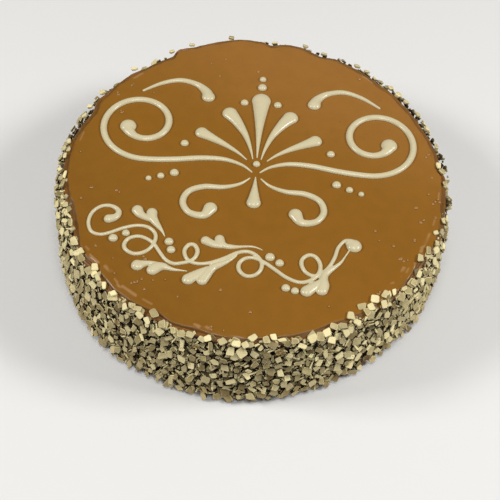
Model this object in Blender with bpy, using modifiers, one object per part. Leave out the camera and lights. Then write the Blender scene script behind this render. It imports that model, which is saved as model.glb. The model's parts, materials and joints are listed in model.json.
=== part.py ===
"""Round layer cake under poured chocolate glaze, with a coat of diced nuts and piped ornaments.

Metres, +Z up. The origin is the middle of the cake's foot, and the front faces -Y.
"""
import math
import random

import bmesh
import bpy
from mathutils import Matrix, Vector

MM = 0.001

# The glazed cake, baked in a 24 cm ring.
CAKE_RADIUS = 119.5 * MM
CAKE_HEIGHT = 65.4 * MM
SHOULDER_ROUND = 3.5 * MM
FOOT_ROUND = 1.5 * MM
CAKE_STEPS = 72
SHOULDER_STEPS = 4
LEVEL_TOP_RADIUS = 109.0 * MM

# The glaze settles unevenly along the rim: depth, number of dips, and how they drift apart.
RIM_SETTLE = 0.35 * MM
RIM_DIPS = 5
RIM_DRIFT = 2.0
RIM_DRIFT_WAVES = 3

# The poured outline leaves a true circle by a few soft lobes: count, height and angle in degrees.
OUTLINE_LOBES = (
    (2, 0.40 * MM, 86),
    (3, 0.40 * MM, -29),
    (4, 0.60 * MM, -33),
    (6, 0.45 * MM, -98),
)

# The coat of nuts. GAP is the clearance between neighbouring solids.
GAP = 0.3 * MM
COAT_RADIUS = 124.1 * MM
COAT_FOOT = 1.1 * MM
COAT_TOP = 61.2 * MM
COAT_TOP_THINNING = 1.7 * MM
THINNING_POWER = 4
COAT_STEPS = 160
COAT_ROWS = 11
BUMP_DEPTH = 1.1 * MM
BUMP_SHIFT = 1.1 * MM
FOOT_RAGGEDNESS = 1.9 * MM
COAT_SEED = 24

# The ragged top edge is a sum of ripples: their height, then the count and phase of each.
RIPPLE_HEIGHT = 0.62 * MM
EDGE_RIPPLES = ((17, 1.3), (29, 0.4), (43, 2.1))

# Where the coat bulges or thins at the foot: height of the bulge, angle and half-spread in degrees.
COAT_BULGES = (
    (2.4 * MM, -128, 30),
    (-1.6 * MM, -52, 26),
    (0.8 * MM, 60, 35),
)

# Where the coat climbs to the rim and where it stops further below it: height of the rise or depth of
# the dip, angle and half-spread in degrees.
COAT_RISES = (
    (3.0 * MM, -90, 55),
    (2.6 * MM, -160, 30),
    (2.4 * MM, -25, 32),
)
COAT_DIPS = (
    (2.6 * MM, 128, 34),
    (1.6 * MM, 84, 22),
)

# Diced nuts that stand out of the coat: count, then length, width and thickness ranges.
SIDE_DICE = 24
EDGE_DICE = 40
DIE_LENGTH = (3.8 * MM, 6.2 * MM)
DIE_WIDTH = (2.8 * MM, 4.4 * MM)
DIE_THICKNESS = (1.9 * MM, 3.0 * MM)
DIE_CORNER_WANDER = 0.16
DIE_TILT = math.radians(32)
DIE_SINK = 0.22
EDGE_DIE_SINK = 0.45
SIDE_DICE_MARGINS = (1.5 * MM, 4.0 * MM)
EDGE_DICE_HEIGHTS = (-2.4 * MM, -0.2 * MM)
EDGE_DICE_WANDER = 0.3
DICE_TO_CAKE = 0.9 * MM
FLOOR_CLEARANCE = 0.5 * MM
DICE_SEED = 7
# Steps of an additive sequence that fills a rectangle evenly.
EVEN_SPREAD = (0.7548776662, 0.5698402910)

# Piped icing: a ridge's height levels off as it gets wider.
PIPING_FULL_HEIGHT = 3.1 * MM
PIPING_SPREAD = 2.6 * MM
PIPING_SIDES = 4
STROKE_SPACING = 4.6 * MM
STROKE_BEND = math.radians(32)
# Angles at which a stroke's round ends and a bead's dome get their extra rings.
ROUND_END_ANGLES = (math.radians(35), math.radians(65))
BEAD_STEPS = 9
BEAD_RING_ANGLE = math.radians(42)

SHARP_RIM_ANGLE = math.radians(50)
SHARP_PIPING_ANGLE = math.radians(60)
MERGE_DISTANCE = 0.01 * MM

GLAZE_COLOUR = (0.300, 0.130, 0.026)
NUT_COLOUR = (0.560, 0.480, 0.280)
ICING_COLOUR = (0.830, 0.780, 0.600)
GLAZE_ROUGHNESS = 0.35
NUT_ROUGHNESS = 0.65
ICING_ROUGHNESS = 0.40

# Strokes are lists of (x, y, half width) in millimetres on the cake's top, chosen by hand.
VINE_STEM = [
    (-84.8, -43.3, 3.1), (-82.0, -42.2, 2.6), (-80.0, -40.0, 2.1), (-79.9, -37.0, 1.8),
    (-82.2, -34.6, 1.5), (-86.0, -33.5, 1.35), (-90.5, -34.4, 1.25), (-94.6, -38.2, 1.2),
    (-96.4, -43.5, 1.2), (-96.0, -49.0, 1.2), (-93.4, -53.6, 1.2), (-88.5, -55.1, 1.2),
    (-83.0, -53.3, 1.2), (-75.5, -49.2, 1.2), (-68.0, -46.7, 1.2), (-61.5, -47.1, 1.25),
    (-57.0, -50.4, 1.25), (-55.7, -55.0, 1.25), (-57.3, -60.8, 1.2), (-61.3, -65.3, 1.3),
    (-67.0, -67.0, 1.35), (-72.0, -64.5, 1.35), (-73.4, -60.5, 1.35), (-71.0, -56.2, 1.3),
    (-65.5, -54.4, 1.25), (-60.0, -56.1, 1.25), (-55.8, -59.4, 1.2), (-52.3, -64.4, 1.2),
    (-48.2, -69.5, 1.25), (-43.5, -71.8, 1.3), (-38.5, -70.9, 1.25), (-34.0, -69.1, 1.25),
    (-31.2, -65.8, 1.3), (-30.5, -61.3, 1.4), (-32.6, -57.6, 1.4), (-36.0, -57.9, 1.4),
    (-38.0, -61.8, 1.3), (-36.8, -66.6, 1.25), (-33.4, -69.8, 1.25), (-28.0, -70.5, 1.2),
    (-21.5, -69.0, 1.3), (-14.5, -65.4, 1.3), (-7.5, -61.0, 1.3), (-1.5, -59.5, 1.35),
    (3.8, -61.6, 1.35), (7.2, -66.2, 1.3), (7.0, -71.5, 1.3), (3.6, -75.7, 1.3),
    (-1.4, -76.5, 1.35), (-5.2, -73.2, 1.4), (-5.8, -68.6, 1.35), (-3.0, -64.8, 1.3),
    (2.0, -63.6, 1.2), (8.5, -66.0, 1.25), (15.0, -70.5, 1.3), (22.5, -75.8, 1.3),
    (30.0, -78.2, 1.3), (36.5, -75.9, 1.3), (40.6, -71.0, 1.35), (41.4, -65.0, 1.35),
    (38.9, -60.0, 1.35), (34.8, -58.6, 1.35), (31.0, -61.5, 1.35), (30.5, -66.0, 1.35),
    (33.2, -71.0, 1.3), (38.0, -73.0, 1.3), (43.2, -70.2, 1.4), (47.0, -65.0, 1.25),
    (49.8, -58.5, 1.25), (51.6, -51.8, 1.2), (55.0, -46.9, 1.3), (58.0, -47.4, 3.0),
    (61.0, -49.7, 4.6),
]

# Each leaf is a pair of teardrops that run together: a short one and one with the long tail.
# The third and fifth leaves touch the stem, so they are fused with it.
VINE_LEAVES = {
    "1": (
        [(-68.8, -35.2, 3.5), (-66.8, -38.0, 2.9), (-63.4, -40.2, 2.2), (-59.6, -41.6, 1.8)],
        [(-60.0, -36.3, 3.3), (-59.4, -39.6, 3.1), (-57.4, -42.9, 2.5), (-54.8, -46.2, 1.7),
         (-52.4, -49.4, 0.95), (-50.6, -52.6, 0.4)],
    ),
    "2": (
        [(-64.0, -74.9, 3.7), (-60.6, -73.6, 2.4), (-57.0, -72.7, 1.6), (-53.4, -72.9, 1.6)],
        [(-54.9, -77.4, 3.5), (-52.4, -75.2, 3.5), (-49.0, -74.5, 2.6), (-46.0, -75.3, 1.7),
         (-42.5, -76.0, 1.1), (-38.5, -76.1, 0.65), (-35.2, -76.2, 0.35)],
    ),
    "3": (
        [(-34.0, -81.9, 3.7), (-30.6, -79.2, 3.3), (-27.2, -76.6, 2.8), (-23.8, -74.0, 2.0)],
        [(-26.0, -82.0, 3.2), (-24.4, -78.6, 3.2), (-22.6, -75.2, 2.9), (-20.2, -72.3, 2.4),
         (-16.8, -70.2, 2.0), (-13.0, -67.8, 1.35), (-10.0, -65.2, 0.95), (-7.8, -62.8, 0.8)],
    ),
    "4": (
        [(-26.4, -53.8, 3.0), (-23.4, -55.3, 2.7), (-20.2, -56.4, 2.3), (-16.5, -57.0, 1.6)],
        [(-18.3, -52.0, 3.0), (-17.4, -54.6, 3.0), (-14.8, -56.6, 2.1), (-11.2, -57.0, 1.7),
         (-7.0, -56.6, 1.15), (-3.0, -55.9, 0.85), (1.0, -55.6, 0.75), (4.6, -56.3, 0.55),
         (7.4, -57.4, 0.3)],
    ),
    "5": (
        [(34.0, -84.0, 3.7), (36.5, -81.8, 3.4), (39.5, -79.2, 2.8), (42.0, -76.5, 1.8)],
        [(42.6, -82.6, 3.5), (43.4, -79.0, 3.6), (43.4, -75.0, 2.8), (44.2, -71.6, 2.3),
         (46.6, -68.6, 2.0), (50.0, -65.6, 1.35), (53.5, -61.8, 0.95), (55.8, -57.6, 0.6),
         (58.4, -52.6, 0.55)],
    ),
}
LEAVES_ON_STEM = ("3", "5")

VINE_DOTS = [
    (-80.4, -57.0, 2.8), (-73.5, -52.7, 2.4), (-47.7, -56.5, 2.7), (-45.9, -62.2, 2.6),
    (11.9, -62.2, 2.9), (17.7, -65.9, 2.6), (22.0, -82.8, 2.6), (27.3, -84.3, 2.4),
]

# The scroll ornament is the same on both sides of x = 0, and its strokes are those at +x.
VOLUTE_CENTRE = (74.0, 34.0)
VOLUTE_RADIUS = 29.0
VOLUTE_EYE_RADIUS = 9.5
VOLUTE_START = -90.0
VOLUTE_TURN = 430.0
VOLUTE_STEP = 18.0
VOLUTE_TIGHTENING = 0.9
VOLUTE_WIDTHS = (2.1, 2.4, 5.2)
# The eye swells over the last part of the turn.
VOLUTE_EYE_SHARE = 1.0 / 6.0
SCROLL_LEAD = [
    (2.6, 1.0, 0.6), (9.0, 5.8, 1.1), (20.0, 9.2, 1.7), (34.0, 9.0, 2.0), (50.0, 6.4, 2.1),
    (63.0, 5.0, 2.1),
]
PAIRED_STROKES = {
    "inner_petal": [
        (2.6, 11.6, 0.45), (4.6, 20.0, 1.1), (8.5, 31.0, 2.1), (14.5, 41.5, 3.6), (19.5, 48.0, 5.0),
    ],
    "outer_petal": [
        (6.4, 10.6, 0.45), (12.0, 15.6, 1.1), (20.0, 21.0, 1.9), (29.0, 26.0, 3.0), (36.0, 29.8, 4.3),
    ],
    "upper_curl": [
        (34.5, 61.0, 4.3), (36.5, 66.0, 3.2), (43.0, 71.5, 2.2), (54.0, 74.0, 1.9), (66.0, 70.0, 1.5),
        (77.0, 62.5, 0.9),
    ],
    "lower_curl": [
        (3.4, -4.0, 0.5), (9.5, -9.4, 1.1), (19.0, -12.8, 1.7), (31.0, -13.6, 2.1), (40.0, -18.2, 2.1),
        (42.6, -26.5, 2.1), (38.0, -34.0, 2.2), (29.6, -35.4, 2.8), (25.6, -29.6, 4.2),
    ],
}
MIDDLE_STROKES = {
    "middle_petal": [
        (0.0, 13.0, 0.5), (0.0, 24.0, 1.3), (0.0, 38.0, 2.6), (0.0, 52.0, 4.6), (0.0, 61.0, 6.2),
    ],
    "middle_drop": [(0.0, -3.0, 0.5), (0.0, -9.0, 1.4), (0.0, -17.0, 3.0), (0.0, -23.0, 4.4)],
}
MIDDLE_BEADS = [(0.0, 7.4, 2.4), (0.0, 73.0, 3.0), (0.0, 80.4, 2.3)]
PAIRED_BEADS = [
    (10.8, 58.4, 2.6), (46.0, 20.0, 2.6), (50.0, -4.4, 2.8), (58.0, -7.6, 2.3), (65.2, -10.2, 1.9),
]


def clear_scene():
    """Remove whatever the file already holds."""
    for scene_object in list(bpy.data.objects):
        bpy.data.objects.remove(scene_object, do_unlink=True)


def new_collection(name):
    """A collection linked to the scene."""
    collection = bpy.data.collections.new(name)
    bpy.context.scene.collection.children.link(collection)
    return collection


def principled(name, colour, roughness):
    """A plain Principled material."""
    material = bpy.data.materials.new(name)
    material.use_nodes = True
    shader = material.node_tree.nodes["Principled BSDF"]
    shader.inputs["Base Color"].default_value = (*colour, 1.0)
    shader.inputs["Roughness"].default_value = roughness
    shader.inputs["Metallic"].default_value = 0.0
    return material


def object_from_bmesh(name, bm, collection, material):
    """Turn a bmesh into a named object with outward faces."""
    bmesh.ops.recalc_face_normals(bm, faces=bm.faces)
    mesh = bpy.data.meshes.new(name)
    bm.to_mesh(mesh)
    bm.free()
    new_object = bpy.data.objects.new(name, mesh)
    new_object.data.materials.append(material)
    collection.objects.link(new_object)
    return new_object


def shade_round(scene_object, sharp_angle):
    """Smooth shading with sharp edges kept past the given angle."""
    scene_object.data.shade_smooth()
    scene_object.data.set_sharp_from_angle(angle=sharp_angle)


def apply_modifiers(scene_object):
    """Replace an object's mesh by the one its modifiers give."""
    depsgraph = bpy.context.evaluated_depsgraph_get()
    mesh = bpy.data.meshes.new_from_object(scene_object.evaluated_get(depsgraph))
    scene_object.modifiers.clear()
    scene_object.data = mesh
    return scene_object


def split_into_triangles(scene_object):
    """Make every face flat."""
    bm = bmesh.new()
    bm.from_mesh(scene_object.data)
    bmesh.ops.triangulate(bm, faces=bm.faces)
    bm.to_mesh(scene_object.data)
    bm.free()


def turned(name, profile, steps, collection, material, closed=False):
    """Turn a profile of (radius, height) points, listed down its outer side, round the Z axis."""
    bm = bmesh.new()
    points = [bm.verts.new((radius, 0.0, height)) for radius, height in profile]
    links = list(zip(points, points[1:]))
    if closed:
        links.append((points[-1], points[0]))
    for first, second in links:
        bm.edges.new((first, second))
    mesh = bpy.data.meshes.new(name)
    bm.to_mesh(mesh)
    bm.free()
    turned_object = bpy.data.objects.new(name, mesh)
    turned_object.data.materials.append(material)
    collection.objects.link(turned_object)
    screw = turned_object.modifiers.new("Turn", "SCREW")
    screw.axis = "Z"
    screw.angle = math.tau
    screw.steps = steps
    screw.render_steps = steps
    screw.use_merge_vertices = True
    screw.merge_threshold = MERGE_DISTANCE
    return apply_modifiers(turned_object)


def outline_wave(angle):
    """How far the poured wall stands out from a true circle at this angle."""
    return sum(
        height * math.cos(lobes * angle - math.radians(turn)) for lobes, height, turn in OUTLINE_LOBES
    )


def angle_between(first, second):
    """Smallest turn between two angles in radians."""
    return abs((first - second + math.pi) % math.tau - math.pi)


def swell(angle, humps):
    """Sum of soft humps round the cake, each given by its height, angle and half-spread in degrees."""
    return sum(
        rise * math.exp(-((angle_between(angle, math.radians(turn)) / math.radians(spread)) ** 2))
        for rise, turn, spread in humps
    )


def coat_bulge(angle, height):
    """How far the coat stands out or draws in near its foot."""
    return max(0.0, 1.0 - height / COAT_TOP) * swell(angle, COAT_BULGES)


def coat_radius(angle, height):
    """Mean outer radius of the coat of nuts."""
    thinning = COAT_TOP_THINNING * (height / COAT_TOP) ** THINNING_POWER
    return COAT_RADIUS - thinning + outline_wave(angle) + coat_bulge(angle, height)


def rim_settle(angle):
    """How far the glaze has sunk at the rim at this angle."""
    drift = RIM_DRIFT * math.sin(RIM_DRIFT_WAVES * angle)
    return RIM_SETTLE * (1.0 + math.sin(RIM_DIPS * angle + drift)) / 2


def build_glazed_cake(collection, material):
    """The cake under its glaze: a turned solid whose outline is then let out of round."""
    shoulder_centre = (CAKE_RADIUS - SHOULDER_ROUND, CAKE_HEIGHT - SHOULDER_ROUND)
    profile = [(0.0, CAKE_HEIGHT), (LEVEL_TOP_RADIUS, CAKE_HEIGHT)]
    for step in range(SHOULDER_STEPS + 1):
        turn = math.pi / 2 * (1.0 - step / SHOULDER_STEPS)
        profile.append((
            shoulder_centre[0] + SHOULDER_ROUND * math.cos(turn),
            shoulder_centre[1] + SHOULDER_ROUND * math.sin(turn),
        ))
    profile += [(CAKE_RADIUS, FOOT_ROUND), (CAKE_RADIUS - FOOT_ROUND, 0.0), (0.0, 0.0)]
    cake = turned("glazed_cake", profile, CAKE_STEPS, collection, material)
    for vertex in cake.data.vertices:
        radius = math.hypot(vertex.co.x, vertex.co.y)
        if radius < LEVEL_TOP_RADIUS / 2:
            continue
        angle = math.atan2(vertex.co.y, vertex.co.x)
        spread = (radius + outline_wave(angle)) / radius
        vertex.co.x *= spread
        vertex.co.y *= spread
        if radius > LEVEL_TOP_RADIUS + GAP and vertex.co.z > CAKE_HEIGHT - 2 * SHOULDER_ROUND:
            vertex.co.z -= rim_settle(angle)
    shade_round(cake, SHARP_RIM_ANGLE)
    return cake


def coat_top(angle):
    """Height of the coat's ragged top edge at this angle."""
    ripple = RIPPLE_HEIGHT * sum(math.sin(count * angle + phase) for count, phase in EDGE_RIPPLES)
    return COAT_TOP + swell(angle, COAT_RISES) - swell(angle, COAT_DIPS) + ripple


def build_coat_core(collection, material):
    """The ring of packed nuts, with bumps of the nuts' size and a ragged top."""
    draw = random.Random(COAT_SEED)
    inner_radius = CAKE_RADIUS + GAP
    profile = [(inner_radius, COAT_TOP)]
    row_step = (COAT_TOP - COAT_FOOT) / COAT_ROWS
    profile += [(COAT_RADIUS, COAT_TOP - row_step * row) for row in range(COAT_ROWS + 1)]
    profile.append((inner_radius, COAT_FOOT))
    coat = turned("nut_coat", profile, COAT_STEPS, collection, material, closed=True)
    pitch = math.tau / COAT_STEPS
    foot_rise = [draw.uniform(0.0, FOOT_RAGGEDNESS) for _ in range(COAT_STEPS)]
    for vertex in coat.data.vertices:
        angle = math.atan2(vertex.co.y, vertex.co.x)
        column = round(angle / pitch) % COAT_STEPS
        row = round((COAT_TOP - vertex.co.z) / row_step)
        height = coat_top(angle) - (coat_top(angle) - COAT_FOOT) * row / COAT_ROWS
        outer = math.hypot(vertex.co.x, vertex.co.y) > (inner_radius + COAT_RADIUS) / 2
        if row == COAT_ROWS:
            height += foot_rise[column]
        elif row > 0:
            height += draw.uniform(-BUMP_SHIFT, BUMP_SHIFT)
        if outer:
            angle += draw.uniform(-BUMP_SHIFT, BUMP_SHIFT) / COAT_RADIUS
            radius = coat_radius(angle, height) + draw.uniform(-BUMP_DEPTH, BUMP_DEPTH)
        else:
            radius = inner_radius + outline_wave(angle)
        vertex.co = (radius * math.cos(angle), radius * math.sin(angle), height)
    split_into_triangles(coat)
    return coat


def nut_die(name, draw, angle, height, sink, collection, material):
    """One irregular diced nut, lying on the coat at an angle round the cake and a height."""
    size = Vector((draw.uniform(*DIE_LENGTH), draw.uniform(*DIE_WIDTH), draw.uniform(*DIE_THICKNESS)))
    bm = bmesh.new()
    bmesh.ops.create_cube(bm, size=1.0)
    for corner in bm.verts:
        wander = Vector([draw.uniform(-DIE_CORNER_WANDER, DIE_CORNER_WANDER) for _ in range(3)])
        corner.co = Vector([place * extent for place, extent in zip(corner.co + wander, size)])
    radius = coat_radius(angle, height) - sink * size.z
    face_out = Matrix.Rotation(angle, 4, "Z") @ Matrix.Rotation(math.pi / 2, 4, "Y")
    lean = (
        Matrix.Rotation(draw.uniform(-DIE_TILT, DIE_TILT), 4, "X")
        @ Matrix.Rotation(draw.uniform(-DIE_TILT, DIE_TILT), 4, "Y")
        @ Matrix.Rotation(draw.uniform(0.0, math.tau), 4, "Z")
    )
    place = Matrix.Translation((radius * math.cos(angle), radius * math.sin(angle), height))
    bm.transform(place @ face_out @ lean)
    bmesh.ops.triangulate(bm, faces=bm.faces)
    lowest = min(corner.co.z for corner in bm.verts)
    nearest = min(math.hypot(corner.co.x, corner.co.y) for corner in bm.verts)
    lift = max(0.0, FLOOR_CLEARANCE - lowest)
    push = max(0.0, CAKE_RADIUS + outline_wave(angle) + DICE_TO_CAKE - nearest)
    shift = Vector((push * math.cos(angle), push * math.sin(angle), lift))
    bmesh.ops.translate(bm, verts=bm.verts, vec=shift)
    return object_from_bmesh(name, bm, collection, material)


def scatter_dice(collection, material):
    """Spread dice evenly over the coat's side and along its top edge."""
    draw = random.Random(DICE_SEED)
    low = COAT_FOOT + SIDE_DICE_MARGINS[0]
    for index in range(SIDE_DICE):
        angle = math.tau * (index * EVEN_SPREAD[0] % 1.0)
        high = coat_top(angle) - SIDE_DICE_MARGINS[1]
        height = low + (high - low) * (index * EVEN_SPREAD[1] % 1.0)
        nut_die(f"side_die_{index + 1}", draw, angle, height, DIE_SINK, collection, material)
    for index in range(EDGE_DICE):
        angle = (index + draw.uniform(-EDGE_DICE_WANDER, EDGE_DICE_WANDER)) * math.tau / EDGE_DICE
        height = coat_top(angle) + draw.uniform(*EDGE_DICE_HEIGHTS)
        nut_die(f"edge_die_{index + 1}", draw, angle, height, EDGE_DIE_SINK, collection, material)


def keep_main_shell(scene_object):
    """Drop loose scraps and fill sealed hollows: only the largest connected shell stays."""
    bm = bmesh.new()
    bm.from_mesh(scene_object.data)
    unseen = set(bm.verts)
    shells = []
    while unseen:
        shell = set()
        front = [unseen.pop()]
        while front:
            corner = front.pop()
            shell.add(corner)
            for edge in corner.link_edges:
                neighbour = edge.other_vert(corner)
                if neighbour in unseen:
                    unseen.remove(neighbour)
                    front.append(neighbour)
        shells.append(shell)
    shells.sort(key=len, reverse=True)
    scraps = [corner for shell in shells[1:] for corner in shell]
    bmesh.ops.delete(bm, geom=scraps, context="VERTS")
    bm.to_mesh(scene_object.data)
    bm.free()


def fuse(main, others, name, self_crossing=False):
    """Join a collection's objects onto one object and remove them."""
    union = main.modifiers.new(name, "BOOLEAN")
    union.operation = "UNION"
    union.operand_type = "COLLECTION"
    union.collection = others
    union.solver = "EXACT"
    union.use_self = self_crossing
    apply_modifiers(main)
    for joined in list(others.objects):
        bpy.data.objects.remove(joined, do_unlink=True)
    bpy.data.collections.remove(others)
    keep_main_shell(main)
    return main


def ridge_height(half_width):
    """Height of a piped ridge of this half width."""
    return PIPING_FULL_HEIGHT * (1.0 - math.exp(-half_width / PIPING_SPREAD))


def smooth_path(points, spacing):
    """Samples of a smooth curve through stroke points, given and returned as (x, y, half width)."""
    knots = [Vector(point) * MM for point in points]
    samples = []
    for index in range(len(knots) - 1):
        before = knots[max(index - 1, 0)]
        start, end = knots[index], knots[index + 1]
        after = knots[min(index + 2, len(knots) - 1)]
        bend = (end - before).xy.angle((after - start).xy, 0.0)
        count = max(1, round((end - start).length / spacing), round(bend / STROKE_BEND))
        for step in range(count):
            share = step / count
            samples.append(0.5 * (
                2 * start + (end - before) * share
                + (2 * before - 5 * start + 4 * end - after) * share ** 2
                + (3 * start - before - 3 * end + after) * share ** 3
            ))
    samples.append(knots[-1])
    return samples


def stroke_sections(points):
    """Centre, direction, half width and height of each section along a stroke, round at both ends."""
    samples = smooth_path(points, STROKE_SPACING)
    places = [Vector((sample.x, sample.y)) for sample in samples]
    widths = [sample.z for sample in samples]
    headings = []
    for index in range(len(places)):
        ahead = places[min(index + 1, len(places) - 1)]
        behind = places[max(index - 1, 0)]
        headings.append((ahead - behind).normalized())
    sections = [
        (place, heading, width, ridge_height(width))
        for place, heading, width in zip(places, headings, widths)
    ]
    for end, way in ((0, -1.0), (-1, 1.0)):
        place, heading, width, height = sections[end]
        rounded = []
        for turn in ROUND_END_ANGLES:
            reach = way * width * math.sin(turn)
            shrink = math.cos(turn)
            rounded.append((place + heading * reach, heading, width * shrink, height * shrink))
        sections = list(reversed(rounded)) + sections if end == 0 else sections + rounded
    tips = (places[0] - headings[0] * widths[0], places[-1] + headings[-1] * widths[-1])
    return sections, tips


def piped_stroke(name, points, collection, material):
    """A flat-bottomed ridge of icing, lofted along its path on the cake's top."""
    base = CAKE_HEIGHT + GAP
    sections, tips = stroke_sections(points)
    bm = bmesh.new()
    rings = []
    for place, heading, width, height in sections:
        across = Vector((-heading.y, heading.x))
        ring = []
        for side in range(PIPING_SIDES + 1):
            turn = math.pi * side / PIPING_SIDES
            spot = place + across * (width * math.cos(turn))
            ring.append(bm.verts.new((spot.x, spot.y, base + height * math.sin(turn))))
        rings.append(ring)
    for near, far in zip(rings, rings[1:]):
        for side in range(PIPING_SIDES + 1):
            other = (side + 1) % (PIPING_SIDES + 1)
            bm.faces.new((near[side], near[other], far[other], far[side]))
    for tip, ring in zip(tips, (rings[0], rings[-1])):
        pole = bm.verts.new((tip.x, tip.y, base))
        for side in range(PIPING_SIDES + 1):
            bm.faces.new((pole, ring[side], ring[(side + 1) % (PIPING_SIDES + 1)]))
    bmesh.ops.triangulate(bm, faces=bm.faces)
    stroke = object_from_bmesh(name, bm, collection, material)
    shade_round(stroke, SHARP_PIPING_ANGLE)
    return stroke


def piped_bead(name, spot, collection, material):
    """A round dot of icing."""
    x, y, radius = (value * MM for value in spot)
    height = ridge_height(radius)
    ring = (radius * math.cos(BEAD_RING_ANGLE), height * math.sin(BEAD_RING_ANGLE))
    profile = [(0.0, height), ring, (radius, 0.0), (0.0, 0.0)]
    bead = turned(name, profile, BEAD_STEPS, collection, material)
    bead.location = (x, y, CAKE_HEIGHT + GAP)
    shade_round(bead, SHARP_PIPING_ANGLE)
    return bead


def run_together(name, strokes, collection, material):
    """Strokes that cross themselves or each other, joined into one piece of icing."""
    others = new_collection(name + "_strokes")
    main = piped_stroke(name, strokes[0], collection, material)
    for index, points in enumerate(strokes[1:]):
        piped_stroke(f"{name}_stroke_{index + 2}", points, others, material)
    fuse(main, others, "Run together", self_crossing=True)
    shade_round(main, SHARP_PIPING_ANGLE)
    return main


def build_vine(collection, material):
    """The looped vine: a stem, leaves in pairs of teardrops, and dots."""
    on_stem = [stroke for leaf in LEAVES_ON_STEM for stroke in VINE_LEAVES[leaf]]
    run_together("vine_stem", [VINE_STEM, *on_stem], collection, material)
    for leaf, strokes in VINE_LEAVES.items():
        if leaf not in LEAVES_ON_STEM:
            run_together(f"vine_leaf_{leaf}", list(strokes), collection, material)
    for index, spot in enumerate(VINE_DOTS):
        piped_bead(f"vine_dot_{index + 1}", spot, collection, material)


def volute_points():
    """Points of the scroll's spiral, from its outer start at the bottom to its eye."""
    points = []
    steps = round(VOLUTE_TURN / VOLUTE_STEP)
    for step in range(steps + 1):
        share = step / steps
        turn = math.radians(VOLUTE_START + VOLUTE_TURN * share)
        radius = VOLUTE_RADIUS + (VOLUTE_EYE_RADIUS - VOLUTE_RADIUS) * share ** VOLUTE_TIGHTENING
        start, middle, eye = VOLUTE_WIDTHS
        swelling = max(0.0, 1.0 - (1.0 - share) / VOLUTE_EYE_SHARE) ** 2
        width = start + (middle - start) * share + (eye - middle) * swelling
        points.append((
            VOLUTE_CENTRE[0] + radius * math.cos(turn),
            VOLUTE_CENTRE[1] + radius * math.sin(turn),
            width,
        ))
    return points


def mirrored(points):
    """The same stroke or bead list on the other side of x = 0."""
    return [(-x, y, width) for x, y, width in points]


def build_scrollwork(collection, material):
    """The symmetric ornament: two scrolls with volutes, petals, curls and beads."""
    paired = {"scroll": SCROLL_LEAD + volute_points(), **PAIRED_STROKES}
    for name, points in paired.items():
        piped_stroke(f"{name}_right", points, collection, material)
        piped_stroke(f"{name}_left", mirrored(points), collection, material)
    for name, points in MIDDLE_STROKES.items():
        piped_stroke(name, points, collection, material)
    beads = MIDDLE_BEADS + PAIRED_BEADS + mirrored(PAIRED_BEADS)
    for index, spot in enumerate(beads):
        piped_bead(f"scroll_bead_{index + 1}", spot, collection, material)


def build():
    """Model the whole cake."""
    clear_scene()
    collection = new_collection("nut_coated_cake")
    glaze = principled("chocolate_glaze", GLAZE_COLOUR, GLAZE_ROUGHNESS)
    nuts = principled("diced_nuts", NUT_COLOUR, NUT_ROUGHNESS)
    icing = principled("white_icing", ICING_COLOUR, ICING_ROUGHNESS)
    build_glazed_cake(collection, glaze)
    coat = build_coat_core(collection, nuts)
    dice = new_collection("nut_dice")
    scatter_dice(dice, nuts)
    fuse(coat, dice, "Dice on the coat")
    coat.data.shade_flat()
    build_vine(collection, icing)
    build_scrollwork(collection, icing)


build()
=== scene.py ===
"""A round cake under milk-brown glaze, with a coat of diced nuts and piped icing.

Laid out as a Blender add-on and run as a script. Everything is in metres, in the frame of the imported
model: the origin is the middle of the cake's foot, +Z is up and the front faces -Y.
"""
import json
import math
import random

import bmesh
import bpy
from mathutils import Matrix, Vector, noise

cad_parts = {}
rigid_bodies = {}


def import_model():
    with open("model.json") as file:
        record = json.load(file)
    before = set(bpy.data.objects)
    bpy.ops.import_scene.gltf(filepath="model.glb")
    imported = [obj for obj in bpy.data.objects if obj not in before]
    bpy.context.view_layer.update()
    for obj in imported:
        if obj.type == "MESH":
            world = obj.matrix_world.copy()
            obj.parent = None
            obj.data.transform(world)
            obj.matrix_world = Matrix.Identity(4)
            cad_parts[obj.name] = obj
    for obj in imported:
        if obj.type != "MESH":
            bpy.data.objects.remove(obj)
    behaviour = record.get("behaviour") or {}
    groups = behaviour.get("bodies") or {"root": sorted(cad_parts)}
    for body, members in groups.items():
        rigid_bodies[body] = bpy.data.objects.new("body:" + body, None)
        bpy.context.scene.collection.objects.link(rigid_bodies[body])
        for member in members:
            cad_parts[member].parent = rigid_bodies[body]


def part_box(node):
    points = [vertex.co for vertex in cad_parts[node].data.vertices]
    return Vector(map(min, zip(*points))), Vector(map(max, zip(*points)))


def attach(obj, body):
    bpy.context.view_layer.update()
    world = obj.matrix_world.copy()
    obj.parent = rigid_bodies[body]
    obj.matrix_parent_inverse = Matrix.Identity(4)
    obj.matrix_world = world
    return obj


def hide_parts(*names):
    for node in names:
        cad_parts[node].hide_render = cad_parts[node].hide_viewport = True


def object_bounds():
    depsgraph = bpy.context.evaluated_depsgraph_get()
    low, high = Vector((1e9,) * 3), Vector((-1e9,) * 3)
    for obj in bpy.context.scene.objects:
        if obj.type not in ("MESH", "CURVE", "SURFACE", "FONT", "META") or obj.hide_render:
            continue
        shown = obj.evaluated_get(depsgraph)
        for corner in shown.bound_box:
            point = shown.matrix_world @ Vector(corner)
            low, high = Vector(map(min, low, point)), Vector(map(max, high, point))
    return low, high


bl_info = {
    "name": "Nut-coated cake",
    "version": (1, 0, 0),
    "blender": (4, 5, 0),
    "location": "View3D > Sidebar > Cake",
    "description": "Builds a glazed cake with a coat of diced nuts and piped icing",
    "category": "Add Mesh",
}

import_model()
CAD_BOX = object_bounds()

MM = 0.001
BODY = "root"
GLAZE_NODE = "glazed_cake"
COAT_NODE = "nut_coat"

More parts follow.
